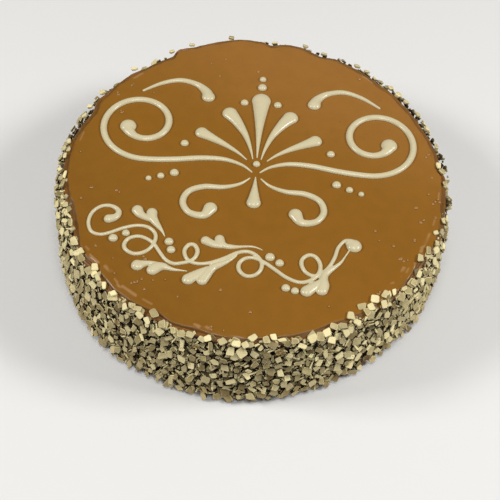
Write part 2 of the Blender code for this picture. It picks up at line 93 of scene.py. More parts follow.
# The cake's size is read from the frame, and its rules are those of the solids.
CAKE_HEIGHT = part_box(GLAZE_NODE)[1].z
ICING_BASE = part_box("vine_stem")[0].z
CAKE_RADIUS = 119.5 * MM
FOOT_ROUND = 1.5 * MM
OUTLINE_LOBES = (
    (2, 0.40 * MM, 86),
    (3, 0.40 * MM, -29),
    (4, 0.60 * MM, -33),
    (6, 0.45 * MM, -98),
)
COAT_RADIUS = 124.1 * MM
COAT_TOP = 61.2 * MM
COAT_TOP_THINNING = 1.7 * MM
THINNING_POWER = 4
COAT_BULGES = (
    (2.4 * MM, -128, 30),
    (-1.6 * MM, -52, 26),
    (0.8 * MM, 60, 35),
)
COAT_RISES = (
    (3.0 * MM, -90, 55),
    (2.6 * MM, -160, 30),
    (2.4 * MM, -25, 32),
)
COAT_DIPS = (
    (2.6 * MM, 128, 34),
    (1.6 * MM, 84, 22),
)
RIPPLE_HEIGHT = 0.62 * MM
EDGE_RIPPLES = ((17, 1.3), (29, 0.4), (43, 2.1))
# Where the coat is only one nut thick at its top: how much less, angle and half-spread in degrees.
THIN_TOPS = ((3.0 * MM, -3, 19), (0.9 * MM, 176, 16))
THIN_TOP_POWER = 6

# The glaze at the rim, as (distance inside the wall, depth below the top) in millimetres: it sinks into
# a crease and swells into a lip before it runs down the wall.
RIM_PROFILE = (
    (7.0, 0.00), (5.0, 0.03), (4.0, 0.12), (3.4, 0.32), (3.0, 0.62), (2.7, 1.00), (2.4, 1.35),
    (2.1, 1.50), (1.75, 1.42), (1.35, 1.30), (0.9, 1.42), (0.5, 1.75), (0.2, 2.25), (0.0, 3.00),
    (0.0, 4.20),
)
RIM_SUBSTEPS = 3
CREASE_INSIDE = 3.0
LIP_DEPTH = 3.0
LIP_WANDER = 0.35 * MM
LIP_WANDER_SIZE = 5.0 * MM
LIP_HEAVE = 0.50 * MM
LIP_HEAVE_SIZE = 6.0 * MM
# The lip's finer heave beside the broad one, and how the pattern drifts with depth and distance inside.
FINE_HEAVE_SHARE = 0.5
FINE_HEAVE_SIZE = 0.4 * LIP_HEAVE_SIZE
LIP_DRIFT = (0.25, -0.5)
CREASE_SHALLOWEST = 0.35
CREASE_DEEPEST = 1.25
CREASE_CHANGE_SIZE = 17.0 * MM
CREASE_CHANGE = 0.9

# Where the level top ends in the crease, all along the rim: angle in degrees and distance from the
# middle in millimetres. The lip follows this line less than the crease does, and the wall not at all.
RIM_LINE = (
    (-177, 115.4), (-170, 114.6), (-166, 114.2), (-163, 112.6), (-159, 112.6), (-155, 113.4),
    (-151, 114.9), (-147, 117.2), (-143, 118.2), (-138, 116.3), (-134, 117.6), (-130, 118.8),
    (-125, 118.2), (-120, 117.5), (-114, 116.4), (-110, 118.2), (-104, 117.3), (-98, 118.0),
    (-93, 117.7), (-89, 118.4), (-85, 117.1), (-77, 116.9), (-72, 115.9), (-67, 114.8),
    (-60, 114.6), (-52, 115.2), (-44, 115.7), (-41, 117.0), (-37, 115.7), (-30, 114.0),
    (-26, 114.8), (-23, 116.8), (-18, 116.4), (-12, 115.7), (-7, 114.6), (-1, 115.0),
    (4, 115.5), (8, 113.4), (13, 114.0), (20, 113.6), (27, 112.9), (35, 113.1),
    (43, 113.5), (47, 112.4), (54, 113.5), (60, 113.6), (65, 114.1), (71, 111.6),
    (78, 114.8), (82, 115.3), (88, 112.2), (92, 115.4), (96, 117.2), (107, 116.6),
    (113, 115.6), (119, 117.2), (123, 112.2), (132, 112.4), (138, 114.3), (149, 114.4),
    (153, 115.3), (159, 112.0), (166, 113.3), (174, 115.6),
)
PULL_START = 82.0 * MM
LIP_PULL = 0.85
PULL_DEPTH = 12.0

# Bubbles that set in the glaze, as clusters and singles on the top, in millimetres.
PIMPLES = (
    (-63.5, -86.2), (-54.9, -84.8), (-46.0, -84.5), (-57.5, -91.9), (-40.0, -95.0), (-75.8, -82.4),
    (-36.0, 91.5), (-27.0, 97.0), (-28.5, 80.5), (-85.0, 67.0), (-93.0, 58.5), (-71.0, 61.5),
    (-3.0, 88.5), (75.1, -81.7), (74.0, -38.0), (76.5, -43.5), (84.1, -47.9), (95.8, -42.5),
    (88.9, -56.8), (93.0, -55.8), (102.0, -27.4), (109.4, 6.7), (98.6, -17.0), (109.3, -12.7),
    (109.9, -25.5), (113.0, -11.1), (107.2, 25.2), (107.9, -6.9), (-99.0, -21.5), (-82.5, -21.5),
    (-104.0, -28.0), (-88.8, -62.1), (-79.1, -71.1), (-64.7, -86.2), (-61.4, -83.2), (-60.7, -69.4),
    (-109.5, 7.0), (-88.0, 43.0), (-17.8, -112.6), (-10.0, -113.2), (3.0, -100.0), (48.0, -92.0),
    (-14.0, -88.0), (63.0, 88.0),
)
PIMPLE_COUNTS = (1, 1, 1, 2, 3)
PIMPLE_RADIUS = (0.65 * MM, 1.15 * MM)
PIMPLE_HEIGHT = (0.40 * MM, 0.75 * MM)
PIMPLE_STRETCH = (0.75, 1.3)
PIMPLE_SPREAD = 1.3 * MM
PIMPLE_SEED = 5

# How finely the glaze is meshed.
GLAZE_STEPS = 520
TOP_RING_SPACING = 1.6 * MM
WALL_RING_SPACING = 4.0 * MM

# Ridges that set in the glaze along the rim: x and y of both ends, half width and height, all in
# millimetres.
RIDGES = (
    (-95.2, -64.5, -93.1, -66.5, 0.9, 0.35), (-92.2, -69.6, -86.1, -75.0, 0.8, 0.45),
    (-82.3, -77.3, -78.2, -80.6, 1.3, 0.40), (-75.4, -85.1, -73.8, -87.1, 1.0, 0.45),
    (-73.5, -89.1, -72.0, -90.6, 0.9, 0.40), (-70.4, -89.9, -62.3, -95.4, 1.0, 0.45),
    (100.4, -49.7, 105.8, -36.3, 1.1, 0.45), (90.1, -61.8, 87.9, -68.4, 0.9, 0.40),
    (93.1, -62.0, 91.4, -65.7, 0.8, 0.35), (96.5, -58.3, 96.8, -61.6, 0.8, 0.35),
    (82.4, -74.8, 83.6, -72.6, 0.8, 0.35), (-27.7, -111.2, -24.5, -112.2, 1.0, 0.45),
    (-21.3, -112.4, -19.6, -112.8, 0.9, 0.45), (108.6, -29.4, 110.2, -23.0, 0.9, 0.30),
    (112.6, -9.6, 113.0, -4.4, 0.9, 0.30), (-108.4, -40.2, -106.8, -44.6, 0.9, 0.30),
    (-58.2, -97.4, -52.6, -100.4, 0.9, 0.30), (-84.6, 73.0, -79.4, 78.2, 1.0, 0.35),
    (-111.2, 16.4, -110.0, 23.6, 0.9, 0.30), (66.2, 90.6, 72.4, 86.0, 0.9, 0.30),
)
# The ridge height at which the painted highlight on a ridge is full.
RIDGE_FULL_HIGHLIGHT = 0.40 * MM
RIDGE_REACH = 3.0

# The poured top's broad swell and its finer waves near the rim.
TOP_SWELL = 0.10 * MM
TOP_SWELL_SIZE = 32.0 * MM
RIM_WAVE = 0.30 * MM
RIM_WAVE_SIZE = 9.0 * MM
RIM_WAVE_WIDTH = 10.0 * MM
RIM_FADE = 3.0 * MM
TOP_LIMIT = 0.8 * MM

# The surfaces that nuts are laid on.
GUIDE_STEPS = 360
GUIDE_ROWS = 26
GUIDE_MARGIN = 1.0 * MM
BOX_MARGIN = 0.05 * MM
FLOOR_CLEARANCE = 0.45 * MM
FOOT_WANDER = 1.6 * MM
FOOT_WANDER_SIZE = 12.0 * MM
COAT_LUMPS = 1.3 * MM
COAT_LUMP_SIZE = 11.0 * MM
# Where the outer nuts lie further out or in than their solid does, and the depth in millimetres at which
# that has faded.
COAT_SHIFTS = ((1.5 * MM, -168, 42), (-2.2 * MM, -3, 30))
SHIFT_FADES = 4.0
# The coat's top edge climbs on the rim where it comes near the top's height.
CLIMB_START = 3.6 * MM
CLIMB_RANGE = 2.2 * MM
LEDGE_GAP = 1.2 * MM
RIM_REACH = 2.6 * MM
RIM_LAP = 0.9 * MM
STACK_WANDER = 0.6 * MM
STACK_TWIST = 0.12

# Dice that lie on the rim: angle in degrees, distance from the middle, size along x and along y, and
# spin in degrees. Lengths are in millimetres.
RIM_DICE = (
    (-49.7, 112.5, 5.2, 5.8, -14), (-46.3, 114.0, 4.4, 5.0, -24), (-54.3, 112.5, 5.4, 3.9, 24),
    (-52.4, 115.7, 4.4, 5.2, 20), (-58.8, 115.0, 4.6, 4.6, 2), (-62.4, 118.2, 5.0, 3.8, 8),
    (-64.7, 117.3, 4.4, 4.0, -10), (-67.2, 118.8, 4.8, 4.8, 30), (-69.3, 119.9, 4.2, 5.4, 12),
    (-71.3, 120.2, 5.2, 5.2, 38), (-81.8, 117.1, 4.8, 3.9, 4), (-79.6, 119.0, 5.5, 1.7, 14),
    (-43.5, 115.9, 2.4, 4.8, 4), (-45.0, 115.4, 1.3, 4.5, 8), (-43.0, 120.6, 3.7, 5.4, -12),
    (-36.9, 119.8, 3.0, 5.0, -20), (-40.7, 118.4, 3.8, 2.3, 40), (-54.2, 116.6, 4.2, 4.5, 36),
    (-74.4, 122.8, 5.4, 3.2, -6), (-76.3, 120.6, 4.2, 3.8, 16), (-58.0, 119.0, 4.8, 4.2, -18),
    (-48.6, 118.2, 4.6, 4.4, 22), (-62.0, 121.8, 4.4, 4.4, 30), (-66.4, 122.6, 5.0, 3.8, -8),
    (-99.3, 121.4, 4.8, 3.8, 4), (-95.4, 121.2, 4.4, 4.4, 32), (-91.7, 121.6, 5.0, 4.0, -12),
    (-87.4, 117.6, 4.4, 4.8, 40), (-83.9, 118.8, 4.6, 4.0, 12), (-89.4, 121.8, 3.6, 3.4, 20),
    (-104.0, 121.4, 4.2, 3.6, -24), (-106.2, 122.4, 4.4, 4.0, 14),
    (-145.1, 119.4, 4.2, 4.0, 38), (-138.2, 117.7, 4.0, 4.8, 12), (-138.9, 121.4, 4.2, 5.2, 20),
    (-135.0, 120.5, 2.9, 4.8, 14), (-132.0, 121.4, 2.9, 4.4, 12), (-128.2, 121.4, 3.2, 4.0, 30),
    (-124.5, 120.7, 2.5, 1.4, 40), (-123.5, 122.8, 3.2, 4.4, 8), (-120.9, 122.4, 3.2, 2.8, 8),
    (-120.0, 120.1, 4.8, 3.4, -10), (-118.6, 122.6, 3.8, 4.6, 36), (-115.6, 118.0, 5.3, 5.6, 42),
    (-111.9, 121.4, 4.6, 4.1, 4), (-116.4, 122.5, 3.2, 4.8, 24), (-108.6, 122.2, 3.2, 3.5, 8),
    (-174.1, 116.7, 1.8, 5.6, -4), (-170.6, 118.2, 2.2, 5.6, -6), (-165.0, 122.0, 3.2, 4.6, 14),
    (-165.8, 118.4, 1.9, 3.0, 20), (-163.1, 117.2, 3.2, 4.1, 8), (-160.3, 118.1, 2.6, 5.2, 12),
    (-155.8, 117.1, 2.9, 5.8, 10), (-153.6, 120.9, 2.9, 4.2, 26), (-149.1, 119.6, 4.2, 5.6, 22),
    (-145.2, 120.9, 3.8, 4.4, 6), (178.6, 118.6, 1.9, 4.6, -4), (172.6, 119.2, 2.1, 4.2, 8),
    (160.8, 118.9, 4.0, 3.6, 20), (156.8, 119.5, 4.2, 3.4, -8), (150.2, 119.7, 4.2, 3.6, 24),
    (135.8, 119.3, 5.0, 2.8, 4), (121.4, 119.9, 4.2, 2.6, 30), (114.6, 119.8, 4.0, 2.8, -10),
    (101.2, 120.2, 4.2, 2.6, 4), (87.0, 119.6, 4.4, 2.8, 12), (76.8, 119.6, 4.0, 3.2, -16),
    (8.8, 115.0, 3.6, 5.6, 6), (6.3, 116.4, 4.6, 3.9, 30), (1.9, 117.5, 3.2, 3.2, 20),
    (-17.8, 115.7, 3.1, 3.4, 24), (-25.2, 115.8, 3.2, 5.6, 4), (-28.9, 113.9, 3.6, 5.6, -8),
    (-33.4, 118.8, 2.8, 5.0, -16), (-21.4, 118.6, 2.4, 4.8, 8), (-12.6, 117.8, 2.6, 4.2, 6),
    (70.2, 119.4, 4.6, 3.6, -14), (58.4, 119.8, 3.8, 3.8, 24), (54.6, 120.0, 3.8, 3.6, 12),
    (44.6, 119.8, 4.2, 3.6, 32), (40.8, 120.0, 4.0, 3.6, -10), (37.0, 119.8, 4.0, 3.4, 16),
    (31.2, 119.4, 3.6, 4.4, 4), (24.8, 119.2, 3.2, 4.4, -8), (16.8, 118.4, 2.6, 4.4, 10),
)
# Below the top, the height over which the nuts are open to the light from below too.
RIM_OPENS = 4.5 * MM
RIM_DICE_SEED = 41
RIM_DIE_THICKNESS = (1.3 * MM, 2.0 * MM)
RIM_DIE_CHAMFER = 0.34 * MM
RIM_DIE_CUT = 0.15
RIM_DIE_TINTS = (0.0, 0.8)
RIM_DIE_SHADES = (0.82, 1.0)
# A die rests this far above the top. Past the crease it drops with the square of the distance and leans.
RIM_DIE_LIFT = -0.3 * MM
RIM_DROP = 0.07 * MM
RIM_LEAN = 5.0
RIM_LEAN_LIMIT = 34.0
RIM_TILT = 9.0

# Piped icing, as in the solids. Strokes are lists of (x, y, half width) in millimetres.
PIPING_FULL_HEIGHT = 3.1 * MM
PIPING_SPREAD = 2.6 * MM
VINE_STEM = [
    (-84.8, -43.3, 3.1), (-82.0, -42.2, 2.6), (-80.0, -40.0, 2.1), (-79.9, -37.0, 1.8),
    (-82.2, -34.6, 1.5), (-86.0, -33.5, 1.35), (-90.5, -34.4, 1.25), (-94.6, -38.2, 1.2),
    (-96.4, -43.5, 1.2), (-96.0, -49.0, 1.2), (-93.4, -53.6, 1.2), (-88.5, -55.1, 1.2),
    (-83.0, -53.3, 1.2), (-75.5, -49.2, 1.2), (-68.0, -46.7, 1.2), (-61.5, -47.1, 1.25),
    (-57.0, -50.4, 1.25), (-55.7, -55.0, 1.25), (-57.3, -60.8, 1.2), (-61.3, -65.3, 1.3),
    (-67.0, -67.0, 1.35), (-72.0, -64.5, 1.35), (-73.4, -60.5, 1.35), (-71.0, -56.2, 1.3),
    (-65.5, -54.4, 1.25), (-60.0, -56.1, 1.25), (-55.8, -59.4, 1.2), (-52.3, -64.4, 1.2),
    (-48.2, -69.5, 1.25), (-43.5, -71.8, 1.3), (-38.5, -70.9, 1.25), (-34.0, -69.1, 1.25),
    (-31.2, -65.8, 1.3), (-30.5, -61.3, 1.4), (-32.6, -57.6, 1.4), (-36.0, -57.9, 1.4),
    (-38.0, -61.8, 1.3), (-36.8, -66.6, 1.25), (-33.4, -69.8, 1.25), (-28.0, -70.5, 1.2),
    (-21.5, -69.0, 1.3), (-14.5, -65.4, 1.3), (-7.5, -61.0, 1.3), (-1.5, -59.5, 1.35),
    (3.8, -61.6, 1.35), (7.2, -66.2, 1.3), (7.0, -71.5, 1.3), (3.6, -75.7, 1.3),
    (-1.4, -76.5, 1.35), (-5.2, -73.2, 1.4), (-5.8, -68.6, 1.35), (-3.0, -64.8, 1.3),
    (2.0, -63.6, 1.2), (8.5, -66.0, 1.25), (15.0, -70.5, 1.3), (22.5, -75.8, 1.3),
    (30.0, -78.2, 1.3), (36.5, -75.9, 1.3), (40.6, -71.0, 1.35), (41.4, -65.0, 1.35),
    (38.9, -60.0, 1.35), (34.8, -58.6, 1.35), (31.0, -61.5, 1.35), (30.5, -66.0, 1.35),
    (33.2, -71.0, 1.3), (38.0, -73.0, 1.3), (43.2, -70.2, 1.4), (47.0, -65.0, 1.25),
    (49.8, -58.5, 1.25), (51.6, -51.8, 1.2), (55.0, -46.9, 1.3), (58.0, -47.4, 3.0),
    (61.0, -49.7, 4.6),
]
VINE_LEAVES = {
    "1": (
        [(-68.8, -35.2, 3.5), (-66.8, -38.0, 2.9), (-63.4, -40.2, 2.2), (-59.6, -41.6, 1.8)],
        [(-60.0, -36.3, 3.3), (-59.4, -39.6, 3.1), (-57.4, -42.9, 2.5), (-54.8, -46.2, 1.7),
         (-52.4, -49.4, 0.95), (-50.6, -52.6, 0.4)],
    ),
    "2": (
        [(-64.0, -74.9, 3.7), (-60.6, -73.6, 2.4), (-57.0, -72.7, 1.6), (-53.4, -72.9, 1.6)],
        [(-54.9, -77.4, 3.5), (-52.4, -75.2, 3.5), (-49.0, -74.5, 2.6), (-46.0, -75.3, 1.7),
         (-42.5, -76.0, 1.1), (-38.5, -76.1, 0.65), (-35.2, -76.2, 0.35)],
    ),
    "3": (
        [(-34.0, -81.9, 3.7), (-30.6, -79.2, 3.3), (-27.2, -76.6, 2.8), (-23.8, -74.0, 2.0)],
        [(-26.0, -82.0, 3.2), (-24.4, -78.6, 3.2), (-22.6, -75.2, 2.9), (-20.2, -72.3, 2.4),
         (-16.8, -70.2, 2.0), (-13.0, -67.8, 1.35), (-10.0, -65.2, 0.95), (-7.8, -62.8, 0.8)],
    ),
    "4": (
        [(-26.4, -53.8, 3.0), (-23.4, -55.3, 2.7), (-20.2, -56.4, 2.3), (-16.5, -57.0, 1.6)],
        [(-18.3, -52.0, 3.0), (-17.4, -54.6, 3.0), (-14.8, -56.6, 2.1), (-11.2, -57.0, 1.7),
         (-7.0, -56.6, 1.15), (-3.0, -55.9, 0.85), (1.0, -55.6, 0.75), (4.6, -56.3, 0.55),
         (7.4, -57.4, 0.3)],
    ),
    "5": (
        [(34.0, -84.0, 3.7), (36.5, -81.8, 3.4), (39.5, -79.2, 2.8), (42.0, -76.5, 1.8)],
        [(42.6, -82.6, 3.5), (43.4, -79.0, 3.6), (43.4, -75.0, 2.8), (44.2, -71.6, 2.3),
         (46.6, -68.6, 2.0), (50.0, -65.6, 1.35), (53.5, -61.8, 0.95), (55.8, -57.6, 0.6),
         (58.4, -52.6, 0.55)],
    ),
}
LEAVES_ON_STEM = ("3", "5")
VINE_DOTS = [
    (-80.4, -57.0, 2.8), (-73.5, -52.7, 2.4), (-47.7, -56.5, 2.7), (-45.9, -62.2, 2.6),
    (11.9, -62.2, 2.9), (17.7, -65.9, 2.6), (22.0, -82.8, 2.6), (27.3, -84.3, 2.4),
]

# The scroll ornament is the same on both sides of x = 0, and its strokes are those at +x.
VOLUTE_CENTRE = (74.0, 34.0)
VOLUTE_RADIUS = 29.0
VOLUTE_EYE_RADIUS = 9.5
VOLUTE_START = -90.0
VOLUTE_TURN = 430.0
VOLUTE_STEP = 18.0
VOLUTE_TIGHTENING = 0.9
VOLUTE_WIDTHS = (2.1, 2.4, 5.2)
VOLUTE_EYE_SHARE = 1.0 / 6.0
SCROLL_LEAD = [
    (2.6, 1.0, 0.6), (9.0, 5.8, 1.1), (20.0, 9.2, 1.7), (34.0, 9.0, 2.0), (50.0, 6.4, 2.1),
    (63.0, 5.0, 2.1),
]
PAIRED_STROKES = {
    "inner_petal": [
        (2.6, 11.6, 0.45), (4.6, 20.0, 1.1), (8.5, 31.0, 2.1), (14.5, 41.5, 3.6), (19.5, 48.0, 5.0),
    ],
    "outer_petal": [
        (6.4, 10.6, 0.45), (12.0, 15.6, 1.1), (20.0, 21.0, 1.9), (29.0, 26.0, 3.0), (36.0, 29.8, 4.3),
    ],
    "upper_curl": [
        (34.5, 61.0, 4.3), (36.5, 66.0, 3.2), (43.0, 71.5, 2.2), (54.0, 74.0, 1.9), (66.0, 70.0, 1.5),
        (77.0, 62.5, 0.9),
    ],
    "lower_curl": [
        (3.4, -4.0, 0.5), (9.5, -9.4, 1.1), (19.0, -12.8, 1.7), (31.0, -13.6, 2.1), (40.0, -18.2, 2.1),
        (42.6, -26.5, 2.1), (38.0, -34.0, 2.2), (29.6, -35.4, 2.8), (25.6, -29.6, 4.2),
    ],
}
MIDDLE_STROKES = {
    "middle_petal": [
        (0.0, 13.0, 0.5), (0.0, 24.0, 1.3), (0.0, 38.0, 2.6), (0.0, 52.0, 4.6), (0.0, 61.0, 6.2),
    ],
    "middle_drop": [(0.0, -3.0, 0.5), (0.0, -9.0, 1.4), (0.0, -17.0, 3.0), (0.0, -23.0, 4.4)],
}
MIDDLE_BEADS = [(0.0, 7.4, 2.4), (0.0, 73.0, 3.0), (0.0, 80.4, 2.3)]
PAIRED_BEADS = [
    (10.8, 58.4, 2.6), (46.0, 20.0, 2.6), (50.0, -4.4, 2.8), (58.0, -7.6, 2.3), (65.2, -10.2, 1.9),
]
BEAD_LENGTH = 0.05
SUNK_BASE = 0.30 * MM
PIPING_SAMPLE = 0.45 * MM
PIPING_SIDES = 20
PIPING_END_SUBDIVISIONS = 4
SETTLE_SHARE = 0.5
SETTLE_TIMES = 4

# Each layer of nuts: its shapes, its guide (inset, foot, drop from the coat's top, ledge), the name of
# its spacing, its range of sizes, its share of the tilt, how far it may sink, its seed and its range of
# painted shade, darker for the deeper layers. Lengths are in millimetres.
SINGLE = {"stack": (1,), "pitch": (1.0, 1.0)}
NUT_LAYERS = {
    "nut_dice": {
        "shapes": {
            "seed": 11, "count": 26, "sides": (4, 4, 4, 5, 5), "length": (4.4, 6.6), "width": (3.4, 4.8),
            "thickness": (1.5, 2.2), "chamfer": 0.30, "cut": 0.12,
            **SINGLE,
        },
        "guide": (0.8, 4.6, 1.2, 1.2), "spacing": "dice_spacing", "sizes": (0.60, 1.10),
        "tilt": 1.0, "sink": 0.4, "seed": 3, "shade": (0.64, 1.0),
    },
    "nut_chips": {
        "shapes": {
            "seed": 12, "count": 18, "sides": (4, 4, 5), "length": (3.6, 5.2), "width": (2.8, 4.0),
            "thickness": (1.2, 1.7), "chamfer": 0.26, "cut": 0.08,
            **SINGLE,
        },
        "guide": (3.0, 4.2, 1.6, 0.6), "spacing": "chip_spacing", "sizes": (0.72, 1.05),
        "tilt": 1.4, "sink": 0.5, "seed": 13, "shade": (0.36, 0.92),
    },
    "nut_slivers": {
        "shapes": {
            "seed": 13, "count": 18, "sides": (4,), "length": (3.8, 6.0), "width": (0.9, 1.4),
            "thickness": (1.4, 2.0), "chamfer": 0.20, "cut": 0.0, "stack": (1, 1, 1, 2),
            "pitch": (1.5, 2.1),
        },
        "guide": (1.5, 5.0, 2.0, 1.4), "spacing": "sliver_spacing", "sizes": (0.8, 1.1),
        "tilt": 1.3, "sink": 0.6, "seed": 23, "shade": (0.84, 1.0),
    },
    "nut_crumbs": {
        "shapes": {
            "seed": 14, "count": 10, "sides": (4,), "length": (1.3, 2.6), "width": (1.0, 2.0),
            "thickness": (0.8, 1.3), "chamfer": 0.16, "cut": 0.0,
            **SINGLE,
        },
        "guide": (2.3, 3.4, 0.8, 1.4), "spacing": "crumb_spacing", "sizes": (0.7, 1.3),
        "tilt": 2.4, "sink": 1.0, "seed": 33, "shade": (0.70, 1.0),
    },
    # Dark bits deep in the coat, dark by painted shade.
    "nut_bits": {
        "shapes": {
            "seed": 15, "count": 8, "sides": (4, 5), "length": (3.4, 4.8), "width": (2.6, 3.8),
            "thickness": (1.0, 1.4), "chamfer": 0.20, "cut": 0.0,
            **SINGLE,
        },
        "guide": (4.0, 4.6, 4.0, 0.0), "spacing": "bit_spacing", "sizes": (0.80, 1.10),
        "tilt": 1.6, "sink": 0.5, "seed": 43, "shade": (0.14, 0.38),
    },
}

# How much the chips differ: their turn in radians, the wander and the reach of their corners, the drift
# and the taper of their underside, and the lean of their upper face.
CHIP_TURN = 0.12
CHIP_CORNER_WANDER = 0.20
CHIP_REACH = (0.80, 1.08)
CHIP_DRIFT = 0.10
CHIP_TAPER = (0.80, 1.0)
CHIP_LEAN = 0.10
# Points that are tried for each square of the spacing, before those too close together go.
POINTS_TRIED = 12.0

# Finish of the glaze: sizes of its patterns, and ranges of place, depth in millimetres or pattern over
# which a tone comes in.
GLAZE_SPECULAR = 0.42
# Painted sheen: the glaze turns paler and pinker towards the back.
SHEEN_CLOUD_SIZE = 45.0 * MM
SHEEN_WANDER = 0.04
SHEEN_SLANT = 0.5
SHEEN_RANGE = (0.0, 0.12)
MOTTLE_SIZE = 9.0 * MM
MOTTLE_SHADES = (0.90, 1.10)
# Painted shade: the glaze is darker towards the front left.
FRONT_LEFT = (-0.75, -0.65)
FRONT_LEFT_RANGE = (0.03, 0.115)
FRONT_LEFT_PAINTED_SHADE = 0.10
# Painted highlight: a pale pinkish colour on the ridges and on the tops of the bubbles.
HIGHLIGHT_RANGE = (0.25, 0.9)
HIGHLIGHT_SHARE = 0.42
SPECK_SPACING = 5.2 * MM
SPECK_SLANT = 0.4
SPECK_SIDE = (0.0, 0.09)
SPECK_OUTLINE = (0.05, 0.10)
SPECK_PICK = (0.86, 0.88)
SPECK_SHADE = 0.35
LIP_TONE_SIZE = 6.0 * MM
# Painted shade in the crease under the top's edge: the depths where it starts and ends, and how dark it
# gets.
CREASE_STARTS = (0.15, 0.6)
CREASE_ENDS = (1.1, 1.9)
CREASE_END_WANDER = 0.8
CREASE_PAINTED_SHADE = 0.45
CREASE_ROUGHNESS = 0.25
THIN_GLAZE_DEPTH = (1.1, 2.0)
# Painted shade: near-black glaze where the nuts cover it, seen in the gaps between them.
COVERED_ABOVE_NUTS = (-2.2, 0.4)
COVERED_DEPTH = (1.6, 2.4)
COVERED_WANDER = 0.5
COVERED_ROUGHNESS = 0.7
STREAK_SIZE = 14.0 * MM
STREAK_ROUGHNESS = (-0.06, 0.06)
PIT_SPACING = 1.9 * MM
PIT_OUTLINE = (0.0, 0.24)
PIT_PICK = (0.93, 0.94)
PIT_DEPTH = 0.7
FINE_RIPPLE_SIZE = 3.2 * MM
FINE_RIPPLE = 0.30
BROAD_RIPPLE_SIZE = 12.0 * MM
BROAD_RIPPLE = 0.9
GLAZE_BUMP = 0.16 * MM

# Finish of the nuts.
NUT_SPECULAR = 0.20
NUT_GRAIN_SIZE = 1.6 * MM
NUT_GRAIN_SHADES = (0.88, 1.12)
NUT_PATCH_SIZE = 5.0 * MM
NUT_PATCH_SHARE = 0.5
OLIVE_TINTS = (0.15, 0.95)
# Painted reflection: a warm ochre tone on the nuts towards the cake's foot, for warm light thrown up from
# below.
BOUNCE_HEIGHTS = (2.0 * MM, 26.0 * MM)
BOUNCE_WANDER = 20.0 * MM
BOUNCE_SHARE = 0.35
# Painted highlight: how far the chamfered edges of the nuts turn cream.
EDGE_HIGHLIGHT_SHARE = 0.8
SKINNED_TINTS = (0.955, 0.965)
SKIN_PATCH_SIZE = 2.2 * MM
SKIN_PATCH_RANGE = (0.46, 0.54)
SKIN_SHARE = 0.8
# Painted shade: how far the darker nuts turn towards the skin's brown.
SHADE_BROWNING_SHARE = 1.05
# Painted shade: the low part of each nut is darkened nearly to black, less so near the rim.
LOW_SHADE_RANGE = (0.10, 0.55)
LOW_SHADE_SHARE = 0.95
OPEN_RIM_SHARE = 0.85
NUT_ROUGHNESS = (0.52, 0.72)
NUT_FINE_SIZE = 0.5 * MM
NUT_FINE_SHARE = 0.4
NUT_BUMP = 0.22 * MM

# Finish of the icing and of the floor.
ICING_SPECULAR = 0.5
ICING_CLOUD_SIZE = 7.0 * MM
ICING_SHADES = (0.94, 1.06)
ICING_STREAK_ROUGHNESS = (-0.05, 0.05)
ICING_LUMP_SIZE = 2.4 * MM
ICING_GRAIN_SIZE = 0.7 * MM
ICING_GRAIN_SHARE = 0.3
ICING_BUMP = 0.12 * MM
FLOOR_ROUGHNESS = 0.6
FLOOR_SPECULAR = 0.2
FLOOR_CLOUD_SIZE = 0.5
FLOOR_SHADES = (0.985, 1.015)
FLOOR_SQUARES = 8

# Soft lights: name, place in metres, size in metres and power in watts. All point at the cake.
SOFT_LIGHTS = (
    ("left_softbox", (-1.25, -0.20, 1.10), 0.45, 13.0),
    ("right_softbox", (1.25, -0.05, 1.10), 0.45, 15.0),
    ("overhead_softbox", (0.0, -0.50, 1.70), 0.6, 11.0),
)
WORLD_COLOUR = (1.0, 0.99, 0.97)
WORLD_STRENGTH = 0.12


def colour_setting(label, about, default):
    """A colour that the panel shows."""
    return bpy.props.FloatVectorProperty(
        name=label, description=about, subtype="COLOR", size=3, default=default, min=0.0, max=1.0,
    )


def length_setting(label, about, default, least=1.0 * MM):
    """A length that the panel shows."""
    return bpy.props.FloatProperty(
        name=label, description=about, unit="LENGTH", default=default, min=least,
    )


def angle_setting(label, about, degrees):
    """An angle that the panel shows."""
    return bpy.props.FloatProperty(
        name=label, description=about, subtype="ANGLE", default=math.radians(degrees),
    )


def number_setting(label, about, default, most=1.0):
    """A plain number that the panel shows."""
    return bpy.props.FloatProperty(name=label, description=about, default=default, min=0.0, max=most)


class GlazeSettings(bpy.types.PropertyGroup):
    """Finish of the poured glaze."""

    colour: colour_setting("Glaze", "Colour of the milk-brown glaze", (0.250, 0.106, 0.0105))
    # Painted sheen: a paler, pinker colour of the glaze towards the back.
    painted_back_sheen: colour_setting("Blush", "Paler, pinker tone towards the back", (0.315, 0.138, 0.027))
    # Painted highlight: a pale pinkish colour on the ridges and on the tops of the bubbles.
    raised: colour_setting(
        "Raised glaze", "Pale pinkish tone on the ridges and bubbles of the glaze", (0.500, 0.290, 0.130),
    )
    thin_glaze: colour_setting(
        "Thin glaze", "Orange-brown tone where the glaze runs thin over the shoulder",
        (0.230, 0.082, 0.010),
    )
    # Painted shade: the near-black tone of the glaze in the gaps between the nuts.
    painted_shade_under_nuts: colour_setting("Under the nuts", "Dark tone seen between the nuts", (0.024, 0.008, 0.001))
    roughness: number_setting("Roughness", "Roughness of the glaze", 0.28)


